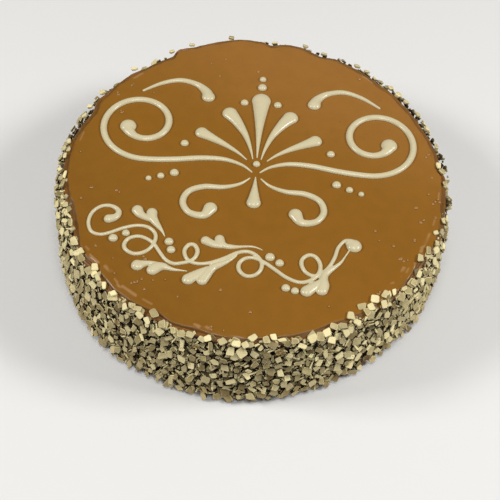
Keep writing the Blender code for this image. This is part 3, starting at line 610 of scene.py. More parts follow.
class NutSettings(bpy.types.PropertyGroup):
    """Sizes and colours of the diced nuts."""

    dice_spacing: length_setting("Dice spacing", "Least distance between two large dice", 6.1 * MM)
    chip_spacing: length_setting(
        "Chip spacing", "Least distance between two chips of the layer below", 5.2 * MM,
    )
    sliver_spacing: length_setting(
        "Sliver spacing", "Least distance between two stacks of slivers", 8.0 * MM,
    )
    crumb_spacing: length_setting("Crumb spacing", "Least distance between two crumbs", 2.9 * MM)
    # The bits deep in the coat are dark by painted shade.
    bit_spacing: length_setting(
        "Bit spacing", "Least distance between two dark bits deep in the coat", 4.8 * MM,
    )
    tilt: angle_setting("Tilt", "How far a nut may lean out of the coat's face", 16.0)
    lift: number_setting("Lift", "How much the nuts on the side face upwards", 0.45, most=10.0)
    cream: colour_setting("Cream", "Palest nuts", (0.960, 0.840, 0.460))
    olive: colour_setting("Olive", "Greyest nuts", (0.400, 0.320, 0.140))
    # Painted reflection: warm ochre tone on the nuts towards the cake's foot.
    painted_warm_bounce: colour_setting("Ochre", "Warm tone towards the cake's foot", (0.520, 0.330, 0.110))
    # Brown of the real skin left on a few nuts; it is also the brown of the painted shade on the darker
    # nuts.
    skin: colour_setting("Skin", "Brown of the skin left on a few nuts", (0.180, 0.085, 0.016))
    # Painted shade: near-black tone on the low part of each nut, where its neighbours shade it.
    gap: colour_setting(
        "Gap", "Dark tone low on each nut, where it is pressed on", (0.010, 0.003, 0.0005),
    )


class IcingSettings(bpy.types.PropertyGroup):
    """Finish of the piped icing."""

    colour: colour_setting("Icing", "Cream white of the icing", (0.620, 0.550, 0.345))
    roughness: number_setting("Roughness", "Roughness of the icing", 0.26)
    grain: length_setting(
        "Grain", "Size of the cells that the strokes are melted together with", 0.28 * MM, least=0.1 * MM,
    )


class StageSettings(bpy.types.PropertyGroup):
    """Camera, floor and lights."""

    lens: number_setting("Lens", "Focal length in millimetres", 75.0, most=500.0)
    camera_distance: length_setting("Camera distance", "From the middle of the cake's top", 0.6444)
    camera_elevation: angle_setting("Elevation", "Height of the camera above the cake's top", 50.43)
    camera_pitch: angle_setting("Pitch", "How far the camera nods from the cake's middle", -4.202)
    camera_roll: angle_setting("Roll", "How far the camera leans to its side", 4.364)
    floor_size: length_setting("Floor", "Width of the floor", 8.0)
    floor_colour: colour_setting("Floor colour", "Pale tone of the floor", (0.78, 0.77, 0.75))


SETTINGS = {
    "cake_glaze": GlazeSettings,
    "cake_nuts": NutSettings,
    "cake_icing": IcingSettings,
    "cake_stage": StageSettings,
}


class Value:
    """A number socket whose operators add Math nodes."""

    def __init__(self, tree, socket):
        self.tree = tree
        self.socket = socket

    def maths(self, operation, *operands):
        """A Math node on these operands."""
        sockets = dict(enumerate(operands))
        return self.tree.node("ShaderNodeMath", {"operation": operation}, sockets).value()

    def __add__(self, other):
        return self.maths("ADD", self, other)

    def __radd__(self, other):
        return self.maths("ADD", other, self)

    def __sub__(self, other):
        return self.maths("SUBTRACT", self, other)

    def __rsub__(self, other):
        return self.maths("SUBTRACT", other, self)

    def __mul__(self, other):
        return self.maths("MULTIPLY", self, other)

    def __rmul__(self, other):
        return self.maths("MULTIPLY", other, self)

    def __truediv__(self, other):
        return self.maths("DIVIDE", self, other)

    def __rtruediv__(self, other):
        return self.maths("DIVIDE", other, self)

    def __gt__(self, other):
        return self.maths("GREATER_THAN", self, other)


class Added:
    """A node that was added to a tree."""

    def __init__(self, tree, node):
        self.tree = tree
        self.node = node

    def out(self, name=None):
        """The first shown output, or the one with this name."""
        shown = [socket for socket in self.node.outputs if socket.enabled]
        if name is None:
            return shown[0]
        return next(socket for socket in shown if socket.name == name)

    def value(self, name=None):
        """An output as a number for expressions."""
        return Value(self.tree, self.out(name))


class Tree:
    """A shader or geometry tree, filled one node at a time."""

    def __init__(self, nodes):
        self.nodes = nodes

    def connect(self, socket, given):
        """Link a socket, or set its value."""
        if isinstance(given, Added):
            given = given.out()
        if isinstance(given, Value):
            given = given.socket
        if isinstance(given, bpy.types.NodeSocket):
            self.nodes.links.new(given, socket)
        elif socket.type == "RGBA" and len(given) == 3:
            socket.default_value = (*given, 1.0)
        else:
            socket.default_value = given

    def node(self, kind, settings=None, sockets=None):
        """Add a node: first its settings, then the values or links of its sockets."""
        added = self.nodes.nodes.new(kind)
        for name, setting in (settings or {}).items():
            setattr(added, name, setting)
        for key, given in (sockets or {}).items():
            if isinstance(key, int):
                socket = added.inputs[key]
            else:
                socket = next(spot for spot in added.inputs if spot.enabled and spot.name == key)
            self.connect(socket, given)
        return Added(self, added)

    def step(self, given, low, high):
        """0 below low and 1 above high, with a soft change between them."""
        settings = {"interpolation_type": "SMOOTHSTEP"}
        sockets = {"Value": given, "From Min": low, "From Max": high}
        return self.node("ShaderNodeMapRange", settings, sockets).value()

    def attribute(self, name):
        """A number stored on the mesh."""
        return self.node("ShaderNodeAttribute", {"attribute_name": name}).value("Fac")


def between(pattern, limits):
    """A pattern from 0 to 1, spread between two limits."""
    low, high = limits
    return low + (high - low) * pattern


class Finish(Tree):
    """A Principled material on Object coordinates."""

    def __init__(self, name, **constants):
        self.material = bpy.data.materials.new(name)
        self.material.use_nodes = True
        super().__init__(self.material.node_tree)
        self.shader = self.nodes.nodes["Principled BSDF"]
        for socket, value in constants.items():
            self.shader.inputs[socket.replace("_", " ")].default_value = value
        self.place = self.node("ShaderNodeTexCoord").out("Object")
        split = self.node("ShaderNodeSeparateXYZ", None, {"Vector": self.place})
        self.x, self.y, self.z = (split.value(axis) for axis in "XYZ")

    def feed(self, socket, given):
        """Link a result to the shader."""
        self.connect(self.shader.inputs[socket], given)

    def noise(self, size, detail=2.0, roughness=0.5):
        """Cloudy pattern, about 0.5 on average, with lumps of this size in metres."""
        sockets = {
            "Vector": self.place, "Scale": 1.0 / size, "Detail": detail, "Roughness": roughness,
        }
        return self.node("ShaderNodeTexNoise", None, sockets).value("Fac")

    def cells(self, size):
        """Cell pattern with cells of this size in metres: the distance and a random number per cell."""
        sockets = {"Vector": self.place, "Scale": 1.0 / size}
        pattern = self.node("ShaderNodeTexVoronoi", None, sockets)
        shade = self.node("ShaderNodeSeparateColor", None, {"Color": pattern.out("Color")})
        return pattern.value("Distance"), shade.value("Red")

    def mix(self, factor, first, second):
        """Blend of two colours."""
        sockets = {"Factor": factor, "A": first, "B": second}
        return self.node("ShaderNodeMix", {"data_type": "RGBA"}, sockets).out("Result")

    def darker(self, colour, shade):
        """A colour multiplied by a number."""
        sockets = {0: colour, "Scale": shade}
        return self.node("ShaderNodeVectorMath", {"operation": "SCALE"}, sockets).out("Vector")

    def bump(self, height, distance):
        """Feed the shader a bumped normal: the height is a number of distances."""
        sockets = {"Height": height, "Distance": distance, "Strength": 1.0}
        self.feed("Normal", self.node("ShaderNodeBump", None, sockets))


def angle_between(first, second):
    """Smallest turn between two angles in radians."""
    return abs((first - second + math.pi) % math.tau - math.pi)


def swell(angle, humps):
    """Sum of soft humps round the cake, each given by its height, angle and half-spread in degrees."""
    return sum(
        rise * math.exp(-((angle_between(angle, math.radians(turn)) / math.radians(spread)) ** 2))
        for rise, turn, spread in humps
    )


def outline_wave(angle):
    """How far the poured wall stands out from a true circle at this angle."""
    return sum(
        height * math.cos(lobes * angle - math.radians(turn)) for lobes, height, turn in OUTLINE_LOBES
    )


def coat_radius(angle, height):
    """Mean outer radius of the coat of nuts."""
    share = height / COAT_TOP
    thinning = COAT_TOP_THINNING * share ** THINNING_POWER
    thinning += swell(angle, THIN_TOPS) * share ** THIN_TOP_POWER
    bulge = max(0.0, 1.0 - share) * swell(angle, COAT_BULGES)
    return COAT_RADIUS - thinning + outline_wave(angle) + bulge


def coat_top(angle):
    """Height of the coat's ragged top edge at this angle."""
    ripple = RIPPLE_HEIGHT * sum(math.sin(count * angle + phase) for count, phase in EDGE_RIPPLES)
    return COAT_TOP + swell(angle, COAT_RISES) - swell(angle, COAT_DIPS) + ripple


def smooth(share):
    """A share from 0 to 1 with soft ends."""
    share = min(1.0, max(0.0, share))
    return share * share * (3.0 - 2.0 * share)


def crease_radius(angle):
    """Distance from the middle to the crease at this angle."""
    turn = math.degrees(angle)
    for index, (start, distance) in enumerate(RIM_LINE):
        end, following = RIM_LINE[(index + 1) % len(RIM_LINE)]
        share = ((turn - start) % 360.0) / ((end - start) % 360.0)
        if share < 1.0:
            return (distance + (following - distance) * smooth(share)) * MM
    return RIM_LINE[0][1] * MM


def rim_pull(radius, height):
    """How much of the rim line's wander a ring of the glaze follows, from 0 to 1."""
    inside = (CAKE_RADIUS - radius) / MM
    rim_start = CAKE_RADIUS - RIM_PROFILE[0][0] * MM
    if radius <= rim_start:
        return smooth((radius - PULL_START) / (rim_start - PULL_START))
    depth = (CAKE_HEIGHT - height) / MM
    over_lip = LIP_PULL + (1.0 - LIP_PULL) * min(1.0, inside / CREASE_INSIDE)
    return over_lip * smooth((PULL_DEPTH - depth) / (PULL_DEPTH - LIP_DEPTH))


def new_object(name, mesh):
    """An object in the scene at the origin."""
    made = bpy.data.objects.new(name, mesh)
    bpy.context.scene.collection.objects.link(made)
    return made


def evaluated_mesh(scene_object):
    """The mesh that an object's modifiers give."""
    depsgraph = bpy.context.evaluated_depsgraph_get()
    return bpy.data.meshes.new_from_object(scene_object.evaluated_get(depsgraph))


def finish_piece(piece, slot, *nodes):
    """Put a finished piece on the cake's body and hide the solids it stands for; the slot is not used."""
    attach(piece, BODY)
    if nodes:
        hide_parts(*nodes)


def set_inputs(modifier, values):
    """Set a Geometry Nodes modifier's inputs, given by name, through their identifiers."""
    for item in modifier.node_group.interface.items_tree:
        if item.item_type == "SOCKET" and item.in_out == "INPUT" and item.name in values:
            modifier[item.identifier] = values[item.name]


def new_group(name, inputs):
    """A Geometry Nodes tree with named inputs after its geometry."""
    group = bpy.data.node_groups.new(name, "GeometryNodeTree")
    group.interface.new_socket("Geometry", in_out="INPUT", socket_type="NodeSocketGeometry")
    for label, kind in inputs.items():
        group.interface.new_socket(label, in_out="INPUT", socket_type=f"NodeSocket{kind}")
    group.interface.new_socket("Geometry", in_out="OUTPUT", socket_type="NodeSocketGeometry")
    return Tree(group)


def ridge_height(x, y):
    """Height of the set ridges at a point on the top."""
    spot = Vector((x, y)) / MM
    total = 0.0
    for start_x, start_y, end_x, end_y, width, height in RIDGES:
        start, end = Vector((start_x, start_y)), Vector((end_x, end_y))
        along = end - start
        share = min(1.0, max(0.0, (spot - start).dot(along) / along.length_squared))
        away = (spot - start - along * share).length / width
        if away < RIDGE_REACH:
            total += height * MM * math.exp(-away * away)
    return total


def top_unevenness(x, y):
    """How far the poured top rises or sinks at a point."""
    radius = math.hypot(x, y)
    slow = noise.noise(Vector((x, y, 0.0)) / TOP_SWELL_SIZE)
    quick = noise.noise(Vector((x, y, 0.3)) / RIM_WAVE_SIZE)
    near_rim = math.exp(-(((CAKE_RADIUS - radius) / RIM_WAVE_WIDTH) ** 2))
    return TOP_SWELL * (slow - 0.5) + RIM_WAVE * quick * near_rim + ridge_height(x, y)


def catmull_rom(before, start, end, after, share):
    """A point of the smooth curve through four points, between the middle two."""
    return 0.5 * (
        2 * start + (end - before) * share
        + (2 * before - 5 * start + 4 * end - after) * share ** 2
        + (3 * start - before - 3 * end + after) * share ** 3
    )


def rim_rings():
    """Radius and height of each ring over the crease and the lip."""
    knots = [Vector((CAKE_RADIUS - inside * MM, CAKE_HEIGHT - depth * MM)) for inside, depth in RIM_PROFILE]
    rings = []
    for index in range(len(knots) - 1):
        before, after = knots[max(index - 1, 0)], knots[min(index + 2, len(knots) - 1)]
        for step in range(RIM_SUBSTEPS):
            rings.append(catmull_rom(before, knots[index], knots[index + 1], after, step / RIM_SUBSTEPS))
    rings.append(knots[-1])
    return [tuple(ring) for ring in rings]


def glaze_profile():
    """Radius and height of each ring of the glaze, from near the middle of the top to the underside."""
    edge = CAKE_RADIUS - RIM_PROFILE[0][0] * MM
    rings = []
    radius = TOP_RING_SPACING
    while radius < edge - TOP_RING_SPACING / 2:
        rings.append((radius, CAKE_HEIGHT))
        radius += TOP_RING_SPACING
    rings += rim_rings()
    height = rings[-1][1] - WALL_RING_SPACING
    while height > FOOT_ROUND:
        rings.append((CAKE_RADIUS, height))
        height -= WALL_RING_SPACING
    rings.append((CAKE_RADIUS, FOOT_ROUND))
    rings.append((CAKE_RADIUS - FOOT_ROUND, 0.0))
    rings.append((CAKE_RADIUS / 2, 0.0))
    return rings


def lip_unevenness(angle, depth, inside):
    """How far the lip strays inwards and downwards at a point of the rim; lengths in millimetres."""
    on_rim = max(0.0, 1.0 - inside / RIM_PROFILE[0][0]) * max(0.0, 1.0 - depth / PULL_DEPTH)
    along = Vector((math.cos(angle), math.sin(angle), 0.0)) * CAKE_RADIUS
    down = Vector((0.0, 0.0, LIP_DRIFT[0] * depth + LIP_DRIFT[1] * inside))
    wander = noise.noise(along / LIP_WANDER_SIZE + down) * LIP_WANDER
    heave = noise.noise(along / LIP_HEAVE_SIZE - down) * LIP_HEAVE
    heave += FINE_HEAVE_SHARE * noise.noise(along / FINE_HEAVE_SIZE + down) * LIP_HEAVE
    return wander * on_rim, heave * on_rim


def crease_depth(angle):
    """Share of the crease's full depth at this angle."""
    along = Vector((math.cos(angle), math.sin(angle), 0.0)) * CAKE_RADIUS
    share = 0.5 + CREASE_CHANGE * noise.noise(along / CREASE_CHANGE_SIZE)
    return CREASE_SHALLOWEST + (CREASE_DEEPEST - CREASE_SHALLOWEST) * smooth(share)


def glaze_ring(bm, radius, height, columns):
    """One ring of the glaze's skin."""
    share = radius / CAKE_RADIUS
    pull = rim_pull(radius, height)
    depth = (CAKE_HEIGHT - height) / MM
    inside = (CAKE_RADIUS - radius) / MM
    on_top = 1.0 - (CAKE_HEIGHT - height) / RIM_FADE
    ring = []
    for angle, wave, wander, deep in columns:
        strayed, settle = 0.0, 0.0
        if inside < RIM_PROFILE[0][0] and depth < PULL_DEPTH:
            strayed, settle = lip_unevenness(angle, depth, inside)
            settle -= (deep - 1.0) * depth * MM * smooth(inside / CREASE_INSIDE)
        reach = radius + wave * share ** 3 - wander * pull - strayed
        x, y = reach * math.cos(angle), reach * math.sin(angle)
        if on_top > 0.0:
            settle += top_unevenness(x, y) * on_top
        ring.append(bm.verts.new((x, y, height + min(settle, TOP_LIMIT))))
    return ring


def build_glaze_mesh():
    """The poured glaze as one closed skin."""
    bm = bmesh.new()
    columns = []
    for step in range(GLAZE_STEPS):
        angle = math.tau * step / GLAZE_STEPS
        wave = outline_wave(angle)
        wander = CAKE_RADIUS - CREASE_INSIDE * MM + wave - crease_radius(angle)
        columns.append((angle, wave, wander, crease_depth(angle)))
    rings = [glaze_ring(bm, radius, height, columns) for radius, height in glaze_profile()]
    for near, far in zip(rings, rings[1:]):
        for step in range(GLAZE_STEPS):
            other = (step + 1) % GLAZE_STEPS
            bm.faces.new((near[step], far[step], far[other], near[other]))
    for ring, height in ((rings[0], CAKE_HEIGHT + top_unevenness(0.0, 0.0)), (rings[-1], 0.0)):
        middle = bm.verts.new((0.0, 0.0, height))
        for step in range(GLAZE_STEPS):
            bm.faces.new((middle, ring[step], ring[(step + 1) % GLAZE_STEPS]))
    bmesh.ops.recalc_face_normals(bm, faces=bm.faces)
    mesh = bpy.data.meshes.new("poured_glaze")
    bm.to_mesh(mesh)
    bm.free()
    mesh.shade_smooth()
    bare = mesh.attributes.new("above_nuts", "FLOAT", "POINT")
    raised = mesh.attributes.new("raised", "FLOAT", "POINT")
    for vertex, spot, highlight_spot in zip(mesh.vertices, bare.data, raised.data):
        x, y, z = vertex.co
        spot.value = (z - coat_top(math.atan2(y, x))) / MM
        # How much painted highlight each point of a ridge carries.
        if math.hypot(x, y) > PULL_START and z > CAKE_HEIGHT - MM:
            highlight_spot.value = ridge_height(x, y) / RIDGE_FULL_HIGHLIGHT
    return mesh


def build_pimple_mesh():
    """Small set bubbles on the glaze, as low domes that are sunk in it to their widest."""
    draw = random.Random(PIMPLE_SEED)
    bm = bmesh.new()
    raised = bm.verts.layers.float.new("raised")
    for x, y in PIMPLES:
        for _ in range(draw.choice(PIMPLE_COUNTS)):
            spot_x = x * MM + draw.uniform(-PIMPLE_SPREAD, PIMPLE_SPREAD)
            spot_y = y * MM + draw.uniform(-PIMPLE_SPREAD, PIMPLE_SPREAD)
            radius = draw.uniform(*PIMPLE_RADIUS)
            level = CAKE_HEIGHT + top_unevenness(spot_x, spot_y)
            place = Matrix.Translation((spot_x, spot_y, level))
            turn = Matrix.Rotation(draw.uniform(0.0, math.tau), 4, "Z")
            height = draw.uniform(*PIMPLE_HEIGHT)
            shape = Matrix.Diagonal((radius * draw.uniform(*PIMPLE_STRETCH), radius, height, 1.0))
            dome = bmesh.ops.create_icosphere(bm, subdivisions=2, radius=1.0, matrix=place @ turn @ shape)
            # The painted highlight grows towards the top of each bubble.
            for vertex in dome["verts"]:
                vertex[raised] = max(0.0, (vertex.co.z - level) / height)
    mesh = bpy.data.meshes.new("glaze_pimples")
    bm.to_mesh(mesh)
    bm.free()
    mesh.shade_smooth()
    bare = mesh.attributes.new("above_nuts", "FLOAT", "POINT")
    for spot in bare.data:
        spot.value = 1.0
    return mesh


def glaze_finish(settings):
    """Milk-brown glaze: pits and specks on the top, orange-brown where it runs thin at the shoulder;
    painted sheen towards the back, painted highlights on the ridges and bubbles, and painted shade at the
    front left, in the crease and under the nuts.
    """
    finish = Finish("poured_chocolate_glaze", Specular_IOR_Level=GLAZE_SPECULAR)
    # Painted sheen, paler and pinker towards the back.
    clouds = finish.noise(SHEEN_CLOUD_SIZE, detail=3.0) - 0.5
    backwards = finish.y + SHEEN_SLANT * finish.x + SHEEN_WANDER * clouds
    colour = finish.mix(finish.step(backwards, *SHEEN_RANGE), settings.colour, settings.painted_back_sheen)
    # Random mottle, and painted shade that darkens the glaze towards the front left.
    mottle = finish.noise(MOTTLE_SIZE, detail=4.0, roughness=0.6)
    front_left = finish.step(FRONT_LEFT[0] * finish.x + FRONT_LEFT[1] * finish.y, *FRONT_LEFT_RANGE)
    shade = between(mottle, MOTTLE_SHADES) * (1.0 - FRONT_LEFT_PAINTED_SHADE * front_left)
    colour = finish.darker(colour, shade)

    # Painted highlight on the ridges and bubbles.
    raised = finish.step(finish.attribute("raised"), *HIGHLIGHT_RANGE)
    colour = finish.mix(HIGHLIGHT_SHARE * raised, colour, settings.raised)

    distance, pick = finish.cells(SPECK_SPACING)
    side = finish.step(finish.x + SPECK_SLANT * finish.y, *SPECK_SIDE)
    speck = (1.0 - finish.step(distance, *SPECK_OUTLINE)) * finish.step(pick, *SPECK_PICK) * side
    colour = finish.darker(colour, 1.0 - SPECK_SHADE * speck)

    depth = (CAKE_HEIGHT - finish.z) / MM
    wander = finish.noise(LIP_TONE_SIZE) - 0.5
    crease_over = finish.step(depth + CREASE_END_WANDER * wander, *CREASE_ENDS)
    crease = finish.step(depth, *CREASE_STARTS) * (1.0 - crease_over)
    colour = finish.mix(finish.step(depth, *THIN_GLAZE_DEPTH), colour, settings.thin_glaze)
    # Painted shade in the crease.
    colour = finish.darker(colour, 1.0 - CREASE_PAINTED_SHADE * crease)
    # Painted shade: near-black glaze under the nuts.
    covered = 1.0 - finish.step(finish.attribute("above_nuts"), *COVERED_ABOVE_NUTS)
    covered = covered * finish.step(depth + COVERED_WANDER * wander, *COVERED_DEPTH)
    colour = finish.mix(covered, colour, settings.painted_shade_under_nuts)
    finish.feed("Base Color", colour)

    gloss = settings.roughness + between(finish.noise(STREAK_SIZE, detail=3.0), STREAK_ROUGHNESS)
    dull = COVERED_ROUGHNESS * covered + CREASE_ROUGHNESS * crease * (1.0 - covered)
    finish.feed("Roughness", gloss + dull)

    distance, pick = finish.cells(PIT_SPACING)
    pit = (1.0 - finish.step(distance, *PIT_OUTLINE)) * finish.step(pick, *PIT_PICK)
    ripples = FINE_RIPPLE * finish.noise(FINE_RIPPLE_SIZE) + BROAD_RIPPLE * finish.noise(BROAD_RIPPLE_SIZE)
    finish.bump(ripples - PIT_DEPTH * pit, GLAZE_BUMP)
    return finish.material


class CAKE_OT_glaze(bpy.types.Operator):
    """Pour the glaze: the cake's body and its smooth top"""

    bl_idname = "cake.glaze"
    bl_label = "Pour the glaze"

    def execute(self, context):
        finish = glaze_finish(context.scene.cake_glaze)
        for name, mesh in {"glaze_shell": build_glaze_mesh(), "glaze_pimples": build_pimple_mesh()}.items():
            piece = new_object(name, mesh)
            mesh.materials.append(finish)
            finish_piece(piece, "glaze", GLAZE_NODE)
        return {"FINISHED"}


def chip_outline(draw, sides, length, width, cut):
    """Corners of a flat chip of nut: a rough rectangle where it has four sides, cut at its corners."""
    if sides == 4:
        turn = math.pi / 4 + draw.uniform(-CHIP_TURN, CHIP_TURN)
    else:
        turn = draw.uniform(0.0, math.tau)
    corners = []
    for index in range(sides):
        wander = draw.uniform(-CHIP_CORNER_WANDER, CHIP_CORNER_WANDER)
        angle = turn + math.tau * (index + wander) / sides
        reach = draw.uniform(*CHIP_REACH) / (2 * math.cos(math.pi / sides))
        corners.append(Vector((length * reach * math.cos(angle), width * reach * math.sin(angle))))
    if not cut:
        return corners
    outline = []
    for index, corner in enumerate(corners):
        outline.append(corner.lerp(corners[index - 1], cut))
        outline.append(corner.lerp(corners[(index + 1) % sides], cut))
    return outline


def add_chip(bm, draw, sides, length, width, thickness, chamfer, cut, place):
    """One irregular flat chip with chamfered faces, laid at a place; its chamfers are marked as edge for a
    painted highlight.
    """
    edge = bm.faces.layers.float["edge"]
    low = bm.verts.layers.float["low"]
    others = set(bm.faces)
    outline = chip_outline(draw, sides, length, width, cut)
    drift = Vector([draw.uniform(-CHIP_DRIFT, CHIP_DRIFT) * extent for extent in (length, width)])
    taper = draw.uniform(*CHIP_TAPER)
    lean = Vector([draw.uniform(-CHIP_LEAN, CHIP_LEAN) for _ in range(2)])
    upper = [bm.verts.new((spot.x, spot.y, thickness / 2 + lean.dot(spot))) for spot in outline]
    lower = []
    for spot in outline:
        under = spot * taper + drift
        lower.append(bm.verts.new((under.x, under.y, -thickness / 2)))
    faces = [bm.faces.new(upper), bm.faces.new(list(reversed(lower)))]
    for index in range(len(outline)):
        other = (index + 1) % len(outline)
        faces.append(bm.faces.new((lower[index], lower[other], upper[other], upper[index])))
    rims = [side for face in faces[:2] for side in face.edges]
    chamfers = bmesh.ops.bevel(
        bm, geom=rims, offset=chamfer, segments=1, profile=0.5, affect="EDGES", clamp_overlap=True,
    )
    for face in chamfers["faces"]:
        face[edge] = 1.0
    made = [face for face in bm.faces if face not in others]
    bmesh.ops.recalc_face_normals(bm, faces=made)
    spots = list({vertex for face in made for vertex in face.verts})
    # How low each point lies on the chip, for the painted shade.
    for vertex in spots:
        vertex[low] = min(1.0, max(0.0, 0.5 - vertex.co.z / thickness))
    bmesh.ops.transform(bm, matrix=place, verts=spots)
    return made


def chips_mesh(name, bm):
    """A bmesh of chips as a flat-shaded mesh."""
    mesh = bpy.data.meshes.new(name)
    bm.to_mesh(mesh)
    bm.free()
    mesh.shade_flat()
    return mesh


def new_chips(*marks):
    """An empty bmesh for chips, with the marks that each face and each point of them has."""
    bm = bmesh.new()
    for mark in ("edge", *marks):
        bm.faces.layers.float.new(mark)
    bm.verts.layers.float.new("low")
    return bm


def chip_collection(name, shapes):
    """A collection of differing chips, or of stacks of them side by side, for scattering."""
    draw = random.Random(shapes["seed"])
    collection = bpy.data.collections.new(name)
    for index in range(shapes["count"]):
        bm = new_chips()
        stack = draw.choice(shapes["stack"])
        pitch = draw.uniform(*shapes["pitch"]) * MM
        for place in range(stack):
            offset = Matrix.Translation((
                draw.uniform(-STACK_WANDER, STACK_WANDER), (place - (stack - 1) / 2) * pitch,
                draw.uniform(-STACK_WANDER, STACK_WANDER) / 2,
            ))
            twist = Matrix.Rotation(draw.uniform(-STACK_TWIST, STACK_TWIST), 4, "Z")
            add_chip(
                bm, draw, draw.choice(shapes["sides"]), draw.uniform(*shapes["length"]) * MM,
                draw.uniform(*shapes["width"]) * MM, draw.uniform(*shapes["thickness"]) * MM,
                shapes["chamfer"] * MM, shapes["cut"], offset @ twist,
            )
        mesh = chips_mesh(f"{name}_{index + 1}", bm)
        collection.objects.link(bpy.data.objects.new(mesh.name, mesh))
    return collection


def ledge_edge(angle):
    """Radius and height of the inner edge of the nuts' top, which climbs on the rim where it can."""
    top = coat_top(angle)
    climb = smooth((top - CAKE_HEIGHT + CLIMB_START) / CLIMB_RANGE)
    wall = CAKE_RADIUS + outline_wave(angle)
    low = wall + LEDGE_GAP
    over = min(wall, crease_radius(angle) + RIM_REACH)
    return low + (over - low) * climb, top + (CAKE_HEIGHT - RIM_LAP - top) * climb


def in_box(spot, margin):
    """A point kept this far inside the box of the solids."""
    low, high = CAD_BOX
    return Vector([max(low[axis] + margin, min(high[axis] - margin, spot[axis])) for axis in range(3)])


def guide_ring(inset, foot, top_drop, ledge):
    """Surface that nuts are laid on: this far inside the coat's outer face, with a ledge on top."""
    bm = bmesh.new()
    columns = []
    for step in range(GUIDE_STEPS):
        angle = math.tau * step / GUIDE_STEPS
        out = Vector((math.cos(angle), math.sin(angle), 0.0))
        top = coat_top(angle) - top_drop
        shift = swell(angle, COAT_SHIFTS) * max(0.0, 1.0 - inset / (SHIFT_FADES * MM))
        lowest = foot + FOOT_WANDER * noise.noise(out * CAKE_RADIUS / FOOT_WANDER_SIZE)
        column = []
        for row in range(GUIDE_ROWS + 1):
            height = lowest + (top - lowest) * row / GUIDE_ROWS
            place = out * CAKE_RADIUS + Vector((0.0, 0.0, height))
            lump = COAT_LUMPS * noise.noise(place / COAT_LUMP_SIZE) * (1.0 - row / GUIDE_ROWS) ** 0.5
            reach = coat_radius(angle, height) - inset + lump + shift
            column.append(bm.verts.new(in_box(out * reach + Vector((0.0, 0.0, height)), GUIDE_MARGIN)))
        if ledge:
            inner, level = ledge_edge(angle)
            column.append(bm.verts.new(out * (inner + ledge - LEDGE_GAP) + Vector((0.0, 0.0, level))))
        columns.append(column)
    for near, far in zip(columns, columns[1:] + columns[:1]):
        for row in range(len(near) - 1):
            bm.faces.new((near[row], far[row], far[row + 1], near[row + 1]))
    mesh = bpy.data.meshes.new("nut_guide")
    bm.to_mesh(mesh)
    bm.free()
    return mesh


